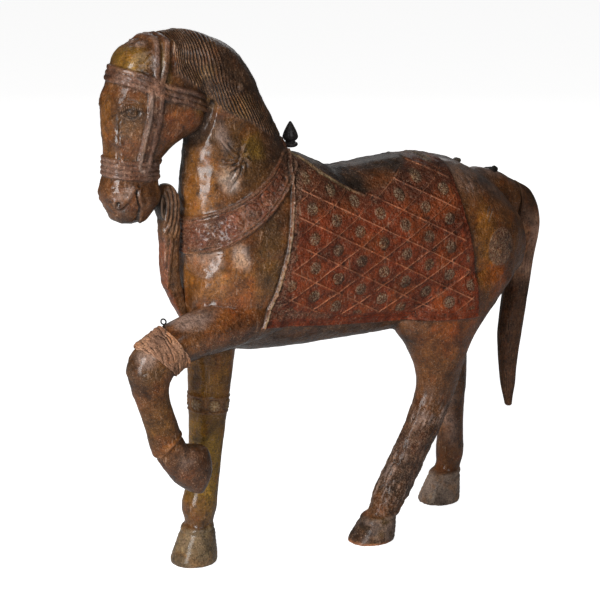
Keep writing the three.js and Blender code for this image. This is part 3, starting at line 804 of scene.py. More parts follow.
def subdivide_where(piece, wanted):
    """Subdivides the faces of a piece whose middles are wanted."""
    use(piece)
    bpy.ops.object.mode_set(mode="EDIT")
    bpy.ops.mesh.select_mode(type="FACE")
    bpy.ops.mesh.select_all(action="DESELECT")
    bpy.ops.object.mode_set(mode="OBJECT")
    piece.data.polygons.foreach_set("select", wanted)
    bpy.ops.object.mode_set(mode="EDIT")
    bpy.ops.mesh.subdivide(number_cuts=1)
    bpy.ops.object.mode_set(mode="OBJECT")


before = len(horse.data.polygons)
subdivide_where(horse, fine_work(face_middles(horse.data)))
print("faces before and after:", before, len(horse.data.polygons))

# %% Carving the block
MOST_TRIANGLES = 190_000
WORKS = (carve_mane, carve_bridle, carve_face, carve_band, carve_marks, carve_cloth, carve_wear)


def carving(p):
    """The whole carving at places p: its height, and what each place is."""
    height, masks = np.zeros(len(p)), {}
    for carve in WORKS:
        part, marks = carve(p)
        height += part
        masks.update(marks)
    return height, masks


def normals_of(mesh):
    """The vertex normals of a mesh, as an array of rows."""
    flat = np.empty(len(mesh.vertices) * 3, np.float32)
    mesh.vertex_normals.foreach_get("vector", flat)
    return flat.reshape(-1, 3).astype(float)


def move_points(mesh, points):
    """Puts the vertices of a mesh where the rows of points say, in millimetres."""
    mesh.vertices.foreach_set("co", (points * MM).astype(np.float32).ravel())
    mesh.update()


def triangles(mesh):
    """How many triangles a mesh has."""
    sizes = np.empty(len(mesh.polygons), np.int32)
    mesh.polygons.foreach_get("loop_total", sizes)
    return int((sizes - 2).sum())


def thin_out(piece, most):
    """Takes faces away where the surface is plain, down to a number of triangles."""
    have = triangles(piece.data)
    if have > most:
        apply_modifier(piece, "DECIMATE", ratio=most / have, use_collapse_triangulate=True)


stock_points, stock_normals = points_of(horse.data), normals_of(horse.data)
cut, _ = carving(stock_points)
carved_points = stock_points + stock_normals * cut[:, None]
carved_points[:, 2] = np.maximum(carved_points[:, 2], 0)
move_points(horse.data, carved_points)
print("carved", len(cut), "points, from", round(cut.min(), 1), "to", round(cut.max(), 1), "mm")
thin_out(horse, MOST_TRIANGLES)
use(horse)
bpy.ops.object.shade_smooth()
print("the horse has", triangles(horse.data), "triangles")

# %% [markdown]
# ## What each place is painted
# The paint is laid on as a carver's painter would lay it: a ground colour, then broad uneven
# patches of other colours, then the cloth, straps and hooves. It is kept on the vertices as a colour
# attribute, because these patches follow the form and not any one axis. Fine mottling comes later,
# in the material. Where the lamps would catch the varnish, silver and lilac patches are painted on as
# highlights, and two black patches are painted shadow.
# A patch has a paint, a middle, its reach along x, y and z in millimetres, and its strength. Old
# varnish has yellowed and darkened all of it by the same share.

# %% Paints and patches


def colour(red, green, blue):
    """A paint colour, given as screen values of 0 to 255, as Blender's linear colour."""
    levels = np.array([red, green, blue]) / 255
    linear = np.where(levels <= 0.04045, levels / 12.92, ((levels + 0.055) / 1.055) ** 2.4)
    return (*(float(v) for v in linear), 1.0)


PAINTS = {
    "ground": colour(112, 70, 37),
    "amber": colour(152, 98, 36),
    "rust": colour(160, 84, 28),
    "gold": colour(156, 122, 40),
    "olive": colour(102, 72, 34),
    "umber": colour(67, 49, 41),
    "black": colour(42, 34, 30),
    "mauve": colour(118, 80, 70),
    "dusty": colour(152, 108, 90),
    "lilac": colour(160, 139, 144),
    "highlight_silver": colour(206, 188, 196),
    "pale": colour(176, 158, 138),
    "red": colour(126, 55, 30),
    "horn": colour(96, 78, 60),
    "bare": colour(176, 120, 92),
    "orange": colour(136, 76, 30),
}
ALL = 999
VARNISH = (0.67, 0.61, 0.45)
PATCHES = [
    ("gold", (-388, 0, 866), (32, 70, 22), 0.7),
    ("gold", (-344, 0, 852), (12, ALL, 42), 0.6),
    ("amber", (-428, 0, 765), (18, 34, 80), 0.7),
    ("olive", (-398, 0, 785), (26, ALL, 36), 0.55),
    ("orange", (-312, 0, 762), (48, ALL, 36), 0.9),
    ("gold", (-272, 0, 788), (22, ALL, 20), 0.7),
    ("umber", (-255, 0, 745), (25, ALL, 26), 0.8),
    ("ground", (-400, 0, 640), (44, ALL, 36), 0.6),
    ("amber", (-286, 0, 665), (36, ALL, 90), 0.75),
    ("olive", (-208, 0, 700), (60, ALL, 70), 0.7),
    ("gold", (-184, 0, 716), (20, ALL, 26), 0.6),
    ("umber", (-132, 0, 690), (46, ALL, 66), 0.75),
    ("amber", (-252, 0, 512), (56, ALL, 48), 0.75),
    ("rust", (-226, 0, 484), (26, ALL, 40), 0.5),
    ("olive", (-178, 0, 545), (30, ALL, 90), 0.8),
    ("umber", (-170, 0, 600), (30, ALL, 50), 0.5),
    ("orange", (-250, -80, 446), (60, 60, 34), 0.55),
    ("umber", (-200, -80, 420), (50, 60, 26), 0.6),
    ("olive", (-396, -60, 392), (44, 60, 44), 0.7),
    ("umber", (-420, -60, 385), (22, 60, 40), 0.6),
    ("olive", (-376, -60, 300), (44, 60, 60), 0.6),
    ("mauve", (-325, -60, 200), (56, 60, 44), 0.45),
    ("amber", (-226, 24, 340), (64, 60, 64), 0.6),
    ("gold", (-236, 24, 166), (50, 60, 112), 0.9),
    ("olive", (-256, 24, 82), (50, 60, 24), 0.5),
    ("amber", (246, 0, 500), (30, ALL, 110), 0.85),
    ("rust", (272, 0, 440), (30, ALL, 36), 0.8),
    ("umber", (290, 0, 630), (110, ALL, 50), 0.6),
    ("ground", (352, 0, 500), (36, ALL, 120), 0.8),
    ("orange", (190, -80, 360), (76, 60, 60), 0.85),
    ("rust", (168, -80, 372), (28, 60, 32), 0.6),
    ("ground", (180, -56, 262), (56, 60, 40), 0.6),
    ("umber", (112, -55, 130), (90, 60, 110), 0.92),
    ("mauve", (122, -55, 150), (44, 60, 90), 0.35),
    ("ground", (90, -55, 60), (50, 60, 30), 0.5),
    ("ground", (285, 42, 170), (60, 60, 130), 0.7),
    # Painted shadow: black on the far side of the neck's front and in the throat under the jaw.
    ("black", (-284, 36, 684), (46, 60, 88), 1.0),
    ("black", (-270, -14, 732), (22, 36, 28), 0.85),
    # Painted highlights where the lamps would catch the varnish: the throat, the neck by the knot, the
    # chest, the top of the forearm and the knee, the muzzle and the seat.
    ("lilac", (-237, -58, 730), (13, 40, 32), 0.8),
    ("highlight_silver", (-232, -60, 668), (18, 40, 25), 0.6),
    ("highlight_silver", (-229, -85, 546), (17, 40, 23), 0.75),
    ("highlight_silver", (-266, -38, 540), (20, 40, 28), 0.6),
    ("lilac", (-306, -72, 458), (46, 30, 18), 0.75),
    ("lilac", (-408, -78, 406), (22, 30, 18), 0.55),
    ("lilac", (-408, -36, 662), (14, 30, 22), 0.75),
    ("lilac", (137, -58, 640), (40, 40, 14), 0.35),
    ("umber", (300, 42, 250), (60, 60, 60), 0.5),
    ("ground", (-238, -88, 494), (24, 40, 24), 0.65),
    # Painted highlights on the top of the raised hoof and down the far hind leg.
    ("lilac", (-336, -84, 226), (18, 26, 16), 0.6),
    ("lilac", (268, 20, 160), (16, 30, 64), 0.45),
    ("gold", (-230, 10, 250), (60, 60, 190), 0.3),
]
print("paints and patches:", len(PAINTS), len(PATCHES))

# %% [markdown]
# ## Laying the paint
# Each layer covers what is under it by a share between 0 and 1, and the masks that the carving gave
# back say where it goes. The patches have wavy edges, because the places are shifted a little first.

# %% Laying the paint
WAVES = [(11, 34, 30), (4, 11, 40)]


def brushed(p, n, masks):
    """The paint at places p, as rows of red, green and blue."""
    x, y, z = p.T
    up = n[:, 2]
    wavy = p.copy()
    for shift, size, seed in WAVES:
        wavy += shift * np.stack([uneven(p, size, seed + k) for k in range(3)], 1)
    paint = np.tile(np.array(PAINTS["ground"][:3]), (len(p), 1))

    def lay(name, amount):
        """Covers what is there with a paint, by an amount between 0 and 1."""
        nonlocal paint
        amount = np.clip(amount, 0, 1)[:, None]
        paint = paint * (1 - amount) + np.array(PAINTS[name][:3]) * amount

    for name, middle, size, amount in PATCHES:
        far = np.linalg.norm((wavy - middle) / size, axis=1)
        lay(name, amount * fade(far, 1.15, 0.45))
    patchy = uneven(p, 30, 50)
    torso = (x > -230) & (z > 340)
    # Painted shade on the underside and on the upward faces of the torso, and a painted sheen on the
    # upward faces of the rump.
    lay("umber", 0.85 * fade(up, -0.2, -0.75) * (z > 330))
    lay("umber", 0.8 * fade(up, 0.62, 0.92) * torso)
    lay("lilac", 0.5 * fade(up, 0.35, 0.85) * torso * fade(x, 140, 230))
    # The mane is painted dark umber, darker between the strands as painted shade, with painted highlights
    # in gold along their crowns.
    lay("umber", 0.8 * masks["mane"] * (1 - 0.4 * masks["strand"]))
    lay("gold", 0.4 * masks["mane"] * masks["strand"] * fade(patchy, -0.2, 0.6))
    # Painted shade in the crease between the jaw and the neck.
    lay("umber", 0.8 * masks["crease"])
    lay("mauve", 0.8 * masks["strap"])
    lay("umber", 0.35 * masks["strap"] * (1 - np.clip(masks["cord"], 0, 1)))
    lay("lilac", 0.36 * masks["cord"] * fade(patchy, -0.4, 0.3))
    # Painted highlight along the front cord of the cheek strap.
    lay("highlight_silver", 0.5 * masks["front_cord_highlight"])
    lay("lilac", 0.7 * masks["lump"])
    lay("umber", 0.4 * masks["eye"])
    lay("mauve", 0.8 * masks["band"])
    lay("red", 0.55 * masks["band"] * fade(patchy, -0.4, 0.3))
    lay("olive", 0.5 * masks["band_rim"])
    lay("red", 0.95 * masks["cloth"])
    lay("rust", 0.3 * masks["quilt"] * fade(patchy, 0, 0.7))
    lay("mauve", 0.6 * masks["leafy"])
    lay("umber", 0.6 * masks["cloth"] * fade(z, 575, 635))
    # Painted shadow in the gap before the cloth's front edge.
    lay("black", 0.35 * masks["edge_gap"])
    lay("umber", 0.9 * masks["seat"])
    lay("black", 0.7 * masks["seat"] * fade(patchy, -0.6, 0.2))
    rubbed_seat = fade(np.hypot((x - 60) / 45, (z - 632) / 18), 1.1, 0.4)
    lay("orange", 0.35 * masks["seat"] * rubbed_seat)
    # Painted highlight: the lower half of the cloth's front rim is painted pale and gold.
    lay("pale", 0.95 * masks["rim"] * fade(uneven(p, 14, 60), -0.7, 0.1))
    lay("gold", 0.2 * masks["rim"])
    lay("pale", 0.8 * masks["seat_rim"] * fade(x, 30, -40))
    lay("dusty", 0.55 * masks["pendant"])
    lay("mauve", 0.8 * masks["roundel"])
    lay("pale", 0.45 * masks["roundel_chips"])
    lay("mauve", 0.45 * masks["cuff"])
    lay("pale", 0.95 * masks["bloom"])
    lay("horn", 0.9 * masks["hoof"])
    # The far fore hoof is painted paler, partly for its own lighter colour and partly as a painted
    # highlight; the far hind hoof's silver is a painted highlight.
    lay("pale", 0.3 * masks["hoof"] * (x < -200))
    lay("highlight_silver", 0.55 * masks["hoof"] * (x > 200))
    near_hind = masks["hoof"] * (x > 0) * (y < 0)
    lay("mauve", 0.5 * near_hind * fade(patchy, -0.2, 0.4))
    lay("umber", 0.6 * near_hind * fade(uneven(p, 22, 61), -0.1, 0.3))
    lay("lilac", 0.5 * near_hind * fade(uneven(p, 9, 62), -0.2, 0.3))
    lay("black", 0.6 * near_hind * fade(x, 50, 15))
    lay("bare", near_hind * (x < 60) * fade(z, 6, 3))
    lay("umber", 0.45 * masks["raised"])
    lay("lilac", 0.9 * masks["splinter"] * fade(patchy, -0.6, 0.1))
    lay("black", 0.5 * masks["split"])
    # Painted shade: black in the cuts of the nostril, the mouth, the pupil and round the eye.
    lay("black", 0.85 * masks["dark"])
    lay("lilac", 0.7 * masks["scratch"])
    lay("umber", 0.2 * fade(z, 600, 740))
    return paint * VARNISH


final_points, final_normals = points_of(horse.data), normals_of(horse.data)
_, final_masks = carving(final_points)
horse_paint = brushed(final_points, final_normals, final_masks)
print("mean paint:", horse_paint.mean(axis=0).round(3))

# %% [markdown]
# ## What the material has to know
# The paint goes onto the vertices, and so do six numbers that the material reads: how hollow or
# sharp a place is, how much of it is quilted cloth, the count of the mane's strands and how clearly
# they are combed, how far the place is worked with small chips, and how matt it is.

# %% Keeping paint and numbers on the vertices
SHARES = {
    "stipple": {
        "band": 0.6, "leafy": 0.8, "roundel": 1, "pendant": 1, "lump": 1, "shin": 0.6, "quilt": 0.15,
    },
    "matt": {
        "cloth": 1, "band": 0.4, "shin": 0.5, "mane": 0.4, "crease": 1, "brow": 0.6, "strap": 0.45,
        "haunch": 0.7, "legs": 0.4, "hoof": 0.6, "bent_leg": 0.45,
    },
}


def hollowness(mesh, strokes=2):
    """How hollow each vertex lies between its neighbours: above 0 in a cut, below 0 on an edge."""
    ends = np.empty(len(mesh.edges) * 2, np.int32)
    mesh.edges.foreach_get("vertices", ends)
    one, two = ends.reshape(-1, 2).T
    p, n = points_of(mesh), normals_of(mesh)
    count = np.bincount(ends, minlength=len(p)).astype(float)
    step = (p[two] - p[one]) / np.maximum(np.linalg.norm(p[two] - p[one], axis=1), 1e-6)[:, None]
    hollow = np.bincount(one, (step * n[one]).sum(1), len(p))
    hollow = (hollow - np.bincount(two, (step * n[two]).sum(1), len(p))) / count
    for _ in range(strokes):
        around = np.bincount(one, hollow[two], len(p)) + np.bincount(two, hollow[one], len(p))
        hollow = 0.5 * hollow + 0.5 * around / count
    return hollow


def keep_value(mesh, name, values):
    """Stores a number for each vertex."""
    layer = mesh.attributes.new(name, "FLOAT", "POINT")
    layer.data.foreach_set("value", np.asarray(values, np.float32))


def keep_paint(mesh, paint):
    """Stores a colour for each vertex."""
    layer = mesh.attributes.new("paint", "FLOAT_COLOR", "POINT")
    opaque = np.hstack([paint, np.ones((len(paint), 1))])
    layer.data.foreach_set("color", opaque.astype(np.float32).ravel())


keep_paint(horse.data, horse_paint)
keep_value(horse.data, "hollow", hollowness(horse.data) * (1 - 0.3 * final_masks["strap"]))
for name in ("quilt", "hair", "combed"):
    keep_value(horse.data, name, final_masks[name])
for name, shares in SHARES.items():
    total = sum(final_masks[mask] * share for mask, share in shares.items())
    keep_value(horse.data, name, np.clip(total, 0, 1))
print("kept on the vertices:", [layer.name for layer in horse.data.attributes])

# %% [markdown]
# ## The tail
# The tail is a piece of its own, set against the dock with an open joint. It is a tube through its
# own stations, with long gouge cuts for the hair that run down it and wander a little. Below its
# root the stain is painted a paler brown.

# %% Tail
TAIL = [
    [384, 580, 384, 514, 24, 0], [416, 558, 390, 502, 26, 0], [432.3, 510, 392, 478, 27, 0],
    [420, 430, 378, 425, 26, 0], [408, 350, 363, 345, 24, 0], [399, 284, 358, 290, 20, 0],
    [392, 215, 363, 222, 14, 0], [388, 172, 374, 172, 8, 0],
]
HAIRS = 26
TAIL_STAIN, TAIL_PALER = np.array(colour(78, 50, 32)[:3]), np.array(colour(196, 150, 126)[:3])

tail = tube("tail", TAIL, sides=96, cuts=24, domes=(0, 6))
tail_points, tail_normals = points_of(tail.data), normals_of(tail.data)
spine = [((a + c) / 2, (b + d) / 2) for a, b, c, d, _, _ in TAIL]
tail_off, tail_down = beside(tail_points[:, 0], tail_points[:, 2], spine)
angle = np.arctan2(tail_points[:, 1], tail_off)
wander = 0.35 * uneven(np.stack([tail_down / 60, angle * 2], 1), 1.0, 5)
hair = np.abs(np.sin(HAIRS / 2 * (angle + wander))) ** 0.6
tail_cut = (1.3 * hair - 1.3 + 0.6 * uneven(tail_points, 30, 6)) * fade(tail_down, 2, 22)
move_points(tail.data, tail_points + tail_normals * tail_cut[:, None])
use(tail)
bpy.ops.object.shade_smooth_by_angle(angle=math.radians(50))
# Below the root the tail is painted a paler brown.
below_root = fade(tail_down, 15, 70) * fade(tail_down, 190, 95)
paler_tail = (below_root * (0.6 + 0.4 * uneven(tail_points, 28, 3)))[:, None]
keep_paint(tail.data, TAIL_STAIN * (1 - paler_tail) + TAIL_PALER * paler_tail)
keep_value(tail.data, "hollow", hollowness(tail.data, 1))
print("the tail has", triangles(tail.data), "triangles")

# %% [markdown]
# ## The curled strip before the chest
# A bracket stands before the chest, its head rolled up like a fern. It is one tube again: the
# stations run out of the middle of the roll along a spiral, and then down the stem. Its sides are
# flat, which a high power gives the ring, and grooves follow the roll on them.

# %% Scroll
CURL = {"x": -319, "z": 622, "radius": 21, "stretch": 2.1, "turns": 1.3, "band": 19, "half": 15}
STEM = [
    (-324, 640, -299, 642, 14), (-330, 600, -297, 600, 13.5), (-329, 560, -298, 560, 12),
    (-328, 510, -298, 510, 10.5), (-311, 465, -288, 463, 9.5), (-294, 434, -281, 432, 8),
]
CURL_STATIONS = 26
SCROLL_VOXEL, SCROLL_TRIANGLES = 0.0013, 24_000


def curl_station(share):
    """A section of the roll: share is 1 at its inner end and 0 where it meets the stem."""
    turn = 2 * math.pi * CURL["turns"] * share
    radius = CURL["radius"] * (1 - 0.72 * share)
    inner = radius - CURL["band"] * (1 - 0.6 * share)
    at = [(CURL["x"] + r * math.cos(turn), CURL["z"] + CURL["stretch"] * r * math.sin(turn))
          for r in (radius, inner)]
    return [*at[0], *at[1], CURL["half"] - 2 * share, 0]


roll = [curl_station(1 - k / CURL_STATIONS) for k in range(CURL_STATIONS + 1)]
scroll = tube("chest_scroll", roll, sides=40, cuts=3, power=4.5)
stem = tube("stem", [[*row, 0] for row in STEM], sides=40, cuts=10, power=4, domes=(6, 2))
use(scroll)
stem.select_set(True)
bpy.ops.object.join()
apply_modifier(scroll, "REMESH", mode="VOXEL", voxel_size=SCROLL_VOXEL)
apply_modifier(scroll, "SMOOTH", factor=0.5, iterations=6)
print("skin of the scroll:", len(scroll.data.polygons), "faces")

# %% Grooves and paint of the scroll
HOLLOW = {"x": -335, "z": 624, "half_width": 11, "half_height": 24}
GROOVE = 0.62
SCROLL_BROWN, SCROLL_RED = np.array(colour(112, 78, 56)[:3]), np.array(colour(128, 72, 50)[:3])


def hollow_reach(p):
    """How far places lie from the middle of the roll's hollow, where 1 is the hollow's rim."""
    off_x, off_z = p[:, 0] - HOLLOW["x"], p[:, 2] - HOLLOW["z"]
    return np.hypot(off_x / HOLLOW["half_width"], off_z / HOLLOW["half_height"])


points, normals = points_of(scroll.data), normals_of(scroll.data)
on_roll = fade(points[:, 2], 566, 584)
on_side = fade(np.abs(normals[:, 1]), 0.3, 0.7)
reach = hollow_reach(points)
grooves = np.cos(2 * math.pi * reach / GROOVE) * on_roll * on_side * (reach > 1)
ribs = bead(points[:, 0] + 318 - 0.1 * (points[:, 2] - 540), 3.5) * (1 - on_roll)
scroll_cut = 1.0 * grooves - 8 * fade(reach, 1.05, 0.7) * on_side + 1.5 * ribs
scroll_cut = scroll_cut + 0.6 * uneven(points, 16, 3) + 0.4 * uneven(points, 6, 4)
move_points(scroll.data, points + normals * scroll_cut[:, None])
thin_out(scroll, SCROLL_TRIANGLES)
use(scroll)
bpy.ops.object.shade_smooth()
points, normals = points_of(scroll.data), normals_of(scroll.data)
reddish = (0.8 * fade(points[:, 2], 590, 560) * fade(-normals[:, 0], 0.1, 0.6))[:, None]
scroll_paint = SCROLL_BROWN * (1 - reddish) + SCROLL_RED * reddish
in_shadow = (1 - 0.9 * fade(hollow_reach(points), 1.2, 0.9))[:, None]
keep_paint(scroll.data, scroll_paint * in_shadow * VARNISH)
keep_value(scroll.data, "hollow", hollowness(scroll.data, 1))
print("the scroll has", triangles(scroll.data), "triangles")

# %% [markdown]
# ## The knob at the withers and the iron in the croup
# The knob was turned on a lathe: a disc is extruded up its axis, and each new ring is scaled to the
# knob's radius there. Of the iron at the root of the tail only a torn stub and a nail are left.

# %% Turned and broken pieces
WITHERS = (-83, 0, 689)
KNOB = [
    (9, 4), (12, 6), (12.8, 8), (12, 10.5), (8.5, 12), (8, 14), (11.5, 16.5), (13.2, 20), (12.6, 24),
    (10.4, 30), (7.4, 36), (4.2, 42), (1.2, 46.5),
]
STUB = [(12, -13), (12.5, -2), (11.5, 6), (10.5, 11), (9, 16)]
NAIL = [(7.6, -3), (8, 1.5), (7, 4), (4.4, 5.6), (1.2, 6.1)]


def turned(name, place, profile, sides=32):
    """A piece turned on the lathe, from rows of radius and height in millimetres."""
    bpy.ops.object.select_all(action="DESELECT")
    first = profile[0]
    bpy.ops.mesh.primitive_circle_add(vertices=sides, radius=first[0] * MM, fill_type="NGON")
    piece = bpy.context.object
    piece.name = name
    piece.data.transform(Matrix.Translation(Vector((0, 0, first[1])) * MM))
    bpy.ops.object.mode_set(mode="EDIT")
    bpy.ops.mesh.select_all(action="SELECT")
    for (radius, height), (next_radius, next_height) in zip(profile, profile[1:]):
        rise = (0, 0, (next_height - height) * MM)
        bpy.ops.mesh.extrude_region_move(TRANSFORM_OT_translate={"value": rise})
        scale = next_radius / radius
        bpy.ops.transform.resize(value=(scale, scale, 1))
    bpy.ops.mesh.select_all(action="SELECT")
    bpy.ops.mesh.normals_make_consistent(inside=False)
    bpy.ops.object.mode_set(mode="OBJECT")
    piece.data.transform(Matrix.Translation(Vector(place) * MM))
    return piece


knob = turned("saddle_finial", WITHERS, KNOB)
apply_modifier(knob, "BEVEL", width=0.0007, segments=2, limit_method="ANGLE")
apply_modifier(knob, "SUBSURF", levels=1, render_levels=1)

stub = turned("croup_stub", (331, 0, 594), STUB, sides=28)
nail = turned("croup_nail", (256, 0, 629), NAIL, sides=24)
for piece in (stub, nail):
    apply_modifier(piece, "SUBSURF", levels=2, render_levels=2)
points, normals = points_of(stub.data), normals_of(stub.data)
torn = 2.6 * uneven(points, 6, 3) + 1.4 * uneven(points, 2.6, 4)
torn = torn * fade(points[:, 2], 590, 602) + 0.5
move_points(stub.data, points + normals * torn[:, None])
points, normals = points_of(nail.data), normals_of(nail.data)
move_points(nail.data, points + normals * (0.7 * uneven(points, 4, 3))[:, None])
for piece in (knob, stub, nail):
    use(piece)
    bpy.ops.object.shade_smooth_by_angle(angle=math.radians(40))
print("turned:", [(piece.name, triangles(piece.data)) for piece in (knob, stub, nail)])

# %% [markdown]
# ## The mended leg
# The raised leg was broken and bound up: stiffened cloth round it above the knee, and a ring of iron
# wire at its upper edge with the end turned into a loop. The cloth is a sleeve of the leg's own
# form, a little larger, with torn edges, folds that run round the leg, and a wall given by Solidify.
# The wire is a bezier circle, laid round the same section and thickened.

# %% Sleeve of the binding
LAST = len(LEFT_FORE) - 1
BINDING_PART = (2.92 / LAST, 3.88 / LAST)

binding = tube("knee_binding", LEFT_FORE, sides=120, cuts=60, swell=3.4, part=BINDING_PART)
use(binding)
bpy.ops.object.mode_set(mode="EDIT")
bpy.ops.mesh.select_mode(type="FACE")
bpy.ops.mesh.select_all(action="DESELECT")
bpy.ops.object.mode_set(mode="OBJECT")
ends = [face.loop_total > 4 for face in binding.data.polygons]
binding.data.polygons.foreach_set("select", ends)
bpy.ops.object.mode_set(mode="EDIT")
bpy.ops.mesh.delete(type="FACE")
bpy.ops.object.mode_set(mode="OBJECT")
print("the sleeve has", len(binding.data.polygons), "faces")

# %% Folds and torn edges
LEG_TOP, LEG_FOOT = np.array([-324.0, -60, 416]), np.array([-378.0, -60, 388])
FOLD_PITCH = 4.6

points, normals = points_of(binding.data), normals_of(binding.data)
axis = (LEG_FOOT - LEG_TOP) / np.linalg.norm(LEG_FOOT - LEG_TOP)
down = (points - LEG_TOP) @ axis
level = (down - down.min()) / np.ptp(down)
forward = (points - LEG_TOP) @ np.array([axis[2], 0, -axis[0]])
round_about = np.arctan2(points[:, 1] - LEG_TOP[1], forward)
weave = np.stack([down / FOLD_PITCH + round_about, round_about * 1.7, 0 * down], 1)
weave = weave + 0.5 * np.stack([uneven(points, 12, k) for k in range(3)], 1)
folds = np.abs(uneven(weave, 1.0, 9))
crumple = 3.4 * folds + 1.4 * uneven(points, 14, 2) + 0.6 * uneven(points, 4, 5)
tear = 3.5 * uneven(np.stack([round_about * 2.5, 0 * down], 1), 1.0, 8) + 1.5 * uneven(points, 5, 6)
slide = fade(level, 0.72, 1) * tear - fade(level, 0.28, 0) * np.abs(tear) * 0.6
move_points(binding.data, points + normals * (crumple - 0.6)[:, None] + slide[:, None] * axis)
apply_modifier(binding, "SOLIDIFY", thickness=0.0024, offset=-1)
keep_value(binding.data, "hollow", hollowness(binding.data, 1))
use(binding)
bpy.ops.object.shade_smooth_by_angle(angle=math.radians(60))
print("the binding has", triangles(binding.data), "triangles")

# %% Wire
WIRE_HALF = 1.25
WIRE_AT = 2.8 / LAST
LOOP, SHANK_FOOT = Vector((-360, -60, 453)), (-360, -60, 437)
SHANK = [(1.3, 0), (1.3, 5), (1.25, 9), (1.2, 12.5)]

ring_row = through(LEFT_FORE, np.array([WIRE_AT]))[0]
bpy.ops.object.select_all(action="DESELECT")
bpy.ops.curve.primitive_bezier_circle_add(radius=1)
ring = bpy.context.object.data
ring.transform(section(ring_row, swell=WIRE_HALF + 0.3))
ring.bevel_depth = WIRE_HALF * MM
ring.bevel_resolution = 4
ring.resolution_u = 24
bpy.ops.object.convert(target="MESH")
wire = bpy.context.object
wire.name = "knee_wire"
bpy.ops.object.select_all(action="DESELECT")
bpy.ops.mesh.primitive_torus_add(
    major_radius=4.4 * MM, minor_radius=WIRE_HALF * MM, major_segments=32, minor_segments=12)
loop = bpy.context.object
loop.data.transform(Matrix.Translation(LOOP * MM) @ Matrix.Rotation(math.radians(62), 4, "X"))
shank = turned("shank", SHANK_FOOT, SHANK, sides=12)
use(wire)
for piece in (loop, shank):
    piece.select_set(True)
bpy.ops.object.join()
use(wire)
bpy.ops.object.shade_smooth_by_angle(angle=math.radians(50))
print("the wire has", triangles(wire.data), "triangles")

# %% [markdown]
# ## Finishes
# One worn finish goes over nearly everything: colours that are mottled at several sizes, dirt and
# painted shade in the hollows, paint rubbed off the edges and small chips. It is a node group, used
# with its own values by each wood. The lattice of the cloth is drawn again in its own group, by the
# same count of diamonds that carved it, so that its thin pale lines stay crisp. The varnish is a coat
# on the shader, and fine pits in it break up the highlights.

# %% Node helpers


def put(tree, kind, settings=None, **inputs):
    """Adds a node, and gives its inputs, named Like_This or numbered as i0, values or links."""
    node = tree.nodes.new(kind)
    for name, value in (settings or {}).items():
        setattr(node, name, value)
    for name, value in inputs.items():
        socket = node.inputs[int(name[1:]) if name[1:].isdigit() else name.replace("_", " ")]
        if isinstance(value, bpy.types.NodeSocket):
            tree.links.new(value, socket)
        else:
            socket.default_value = value
    return node


def work(tree, operation, *values):
    """A Math node; the socket of its result."""
    inputs = {f"i{k}": value for k, value in enumerate(values)}
    return put(tree, "ShaderNodeMath", {"operation": operation}, **inputs).outputs[0]


def times(tree, one, two):
    """One value times another."""
    return work(tree, "MULTIPLY", one, two)


def plus(tree, one, two):
    """One value and another, added."""
    return work(tree, "ADD", one, two)


def blend(tree, kind, amount, under, over):
    """A Mix node for colours; the socket of its result."""
    settings = {"data_type": "RGBA", "blend_type": kind}
    return put(tree, "ShaderNodeMix", settings, i0=amount, i6=under, i7=over).outputs[2]


def tint(tree, under, kind, share, amount, over):
    """Blends a colour over another where a share is high, at most by an amount."""
    return blend(tree, kind, times(tree, share, amount), under, over)


def ramp(tree, value, low, high):
    """A value's share of the way from low to high, smooth and held between 0 and 1."""
    settings = {"interpolation_type": "SMOOTHSTEP"}
    node = put(tree, "ShaderNodeMapRange", settings, Value=value, From_Min=low, From_Max=high)
    return node.outputs[0]


def noise(tree, spot, scale, detail=3.0, rough=0.55):
    """A noise texture; the socket of its value."""
    node = put(tree, "ShaderNodeTexNoise", Vector=spot, Scale=scale, Detail=detail, Roughness=rough)
    return node.outputs["Fac"]


def group(name, **sockets):
    """An empty node group with named sockets; the group, what it is given and what it makes."""
    tree = bpy.data.node_groups.new(name, "ShaderNodeTree")
    for role, labels in sockets.items():
        kind, way = role.split("_")
        socket_type = {"colours": "NodeSocketColor", "values": "NodeSocketFloat"}[kind]
        for label in labels:
            tree.interface.new_socket(label, in_out=way.upper() + "PUT", socket_type=socket_type)
    return tree, tree.nodes.new("NodeGroupInput").outputs, tree.nodes.new("NodeGroupOutput").inputs


trial = bpy.data.node_groups.new("trial", "ShaderNodeTree")
noise(trial, put(trial, "ShaderNodeTexCoord").outputs["Object"], 26)
print("a noise on the object's own coordinates:", [node.name for node in trial.nodes])
bpy.data.node_groups.remove(trial)

# %% [markdown]
# ## The worn finish
# First the paint is shaded by noises of three sizes, and warmer, darker and lighter fields and small
# stains are laid over it. Then dirt and painted shade darken the hollows, soot fills the pin holes,
# and the paint comes off on edges, in strokes, flakes, specks and the dots of the chip work. The group
# also gives back how matt a place is, and a height for the bump.

# %% Worn finish: tones
SOOT = (0.014, 0.009, 0.006, 1)

worn_finish, given, made = group(
    "worn_finish", colours_in=["Paint", "Rubbed Colour"],
    values_in=["Hollow", "Stipple", "Mottle", "Dirt", "Rub"],
    colours_out=["Color"], values_out=["Matt", "Height"],
)
tree = worn_finish
spot = put(tree, "ShaderNodeTexCoord").outputs["Object"]
broad = noise(tree, spot, 26, 3, 0.6)
close = noise(tree, spot, 80, 4, 0.65)
fine = noise(tree, spot, 270, 3, 0.65)


def swing(value, amount):
    """How far a noise of the worn finish lies from its middle, times an amount."""
    return times(worn_finish, work(worn_finish, "SUBTRACT", value, 0.5), amount)


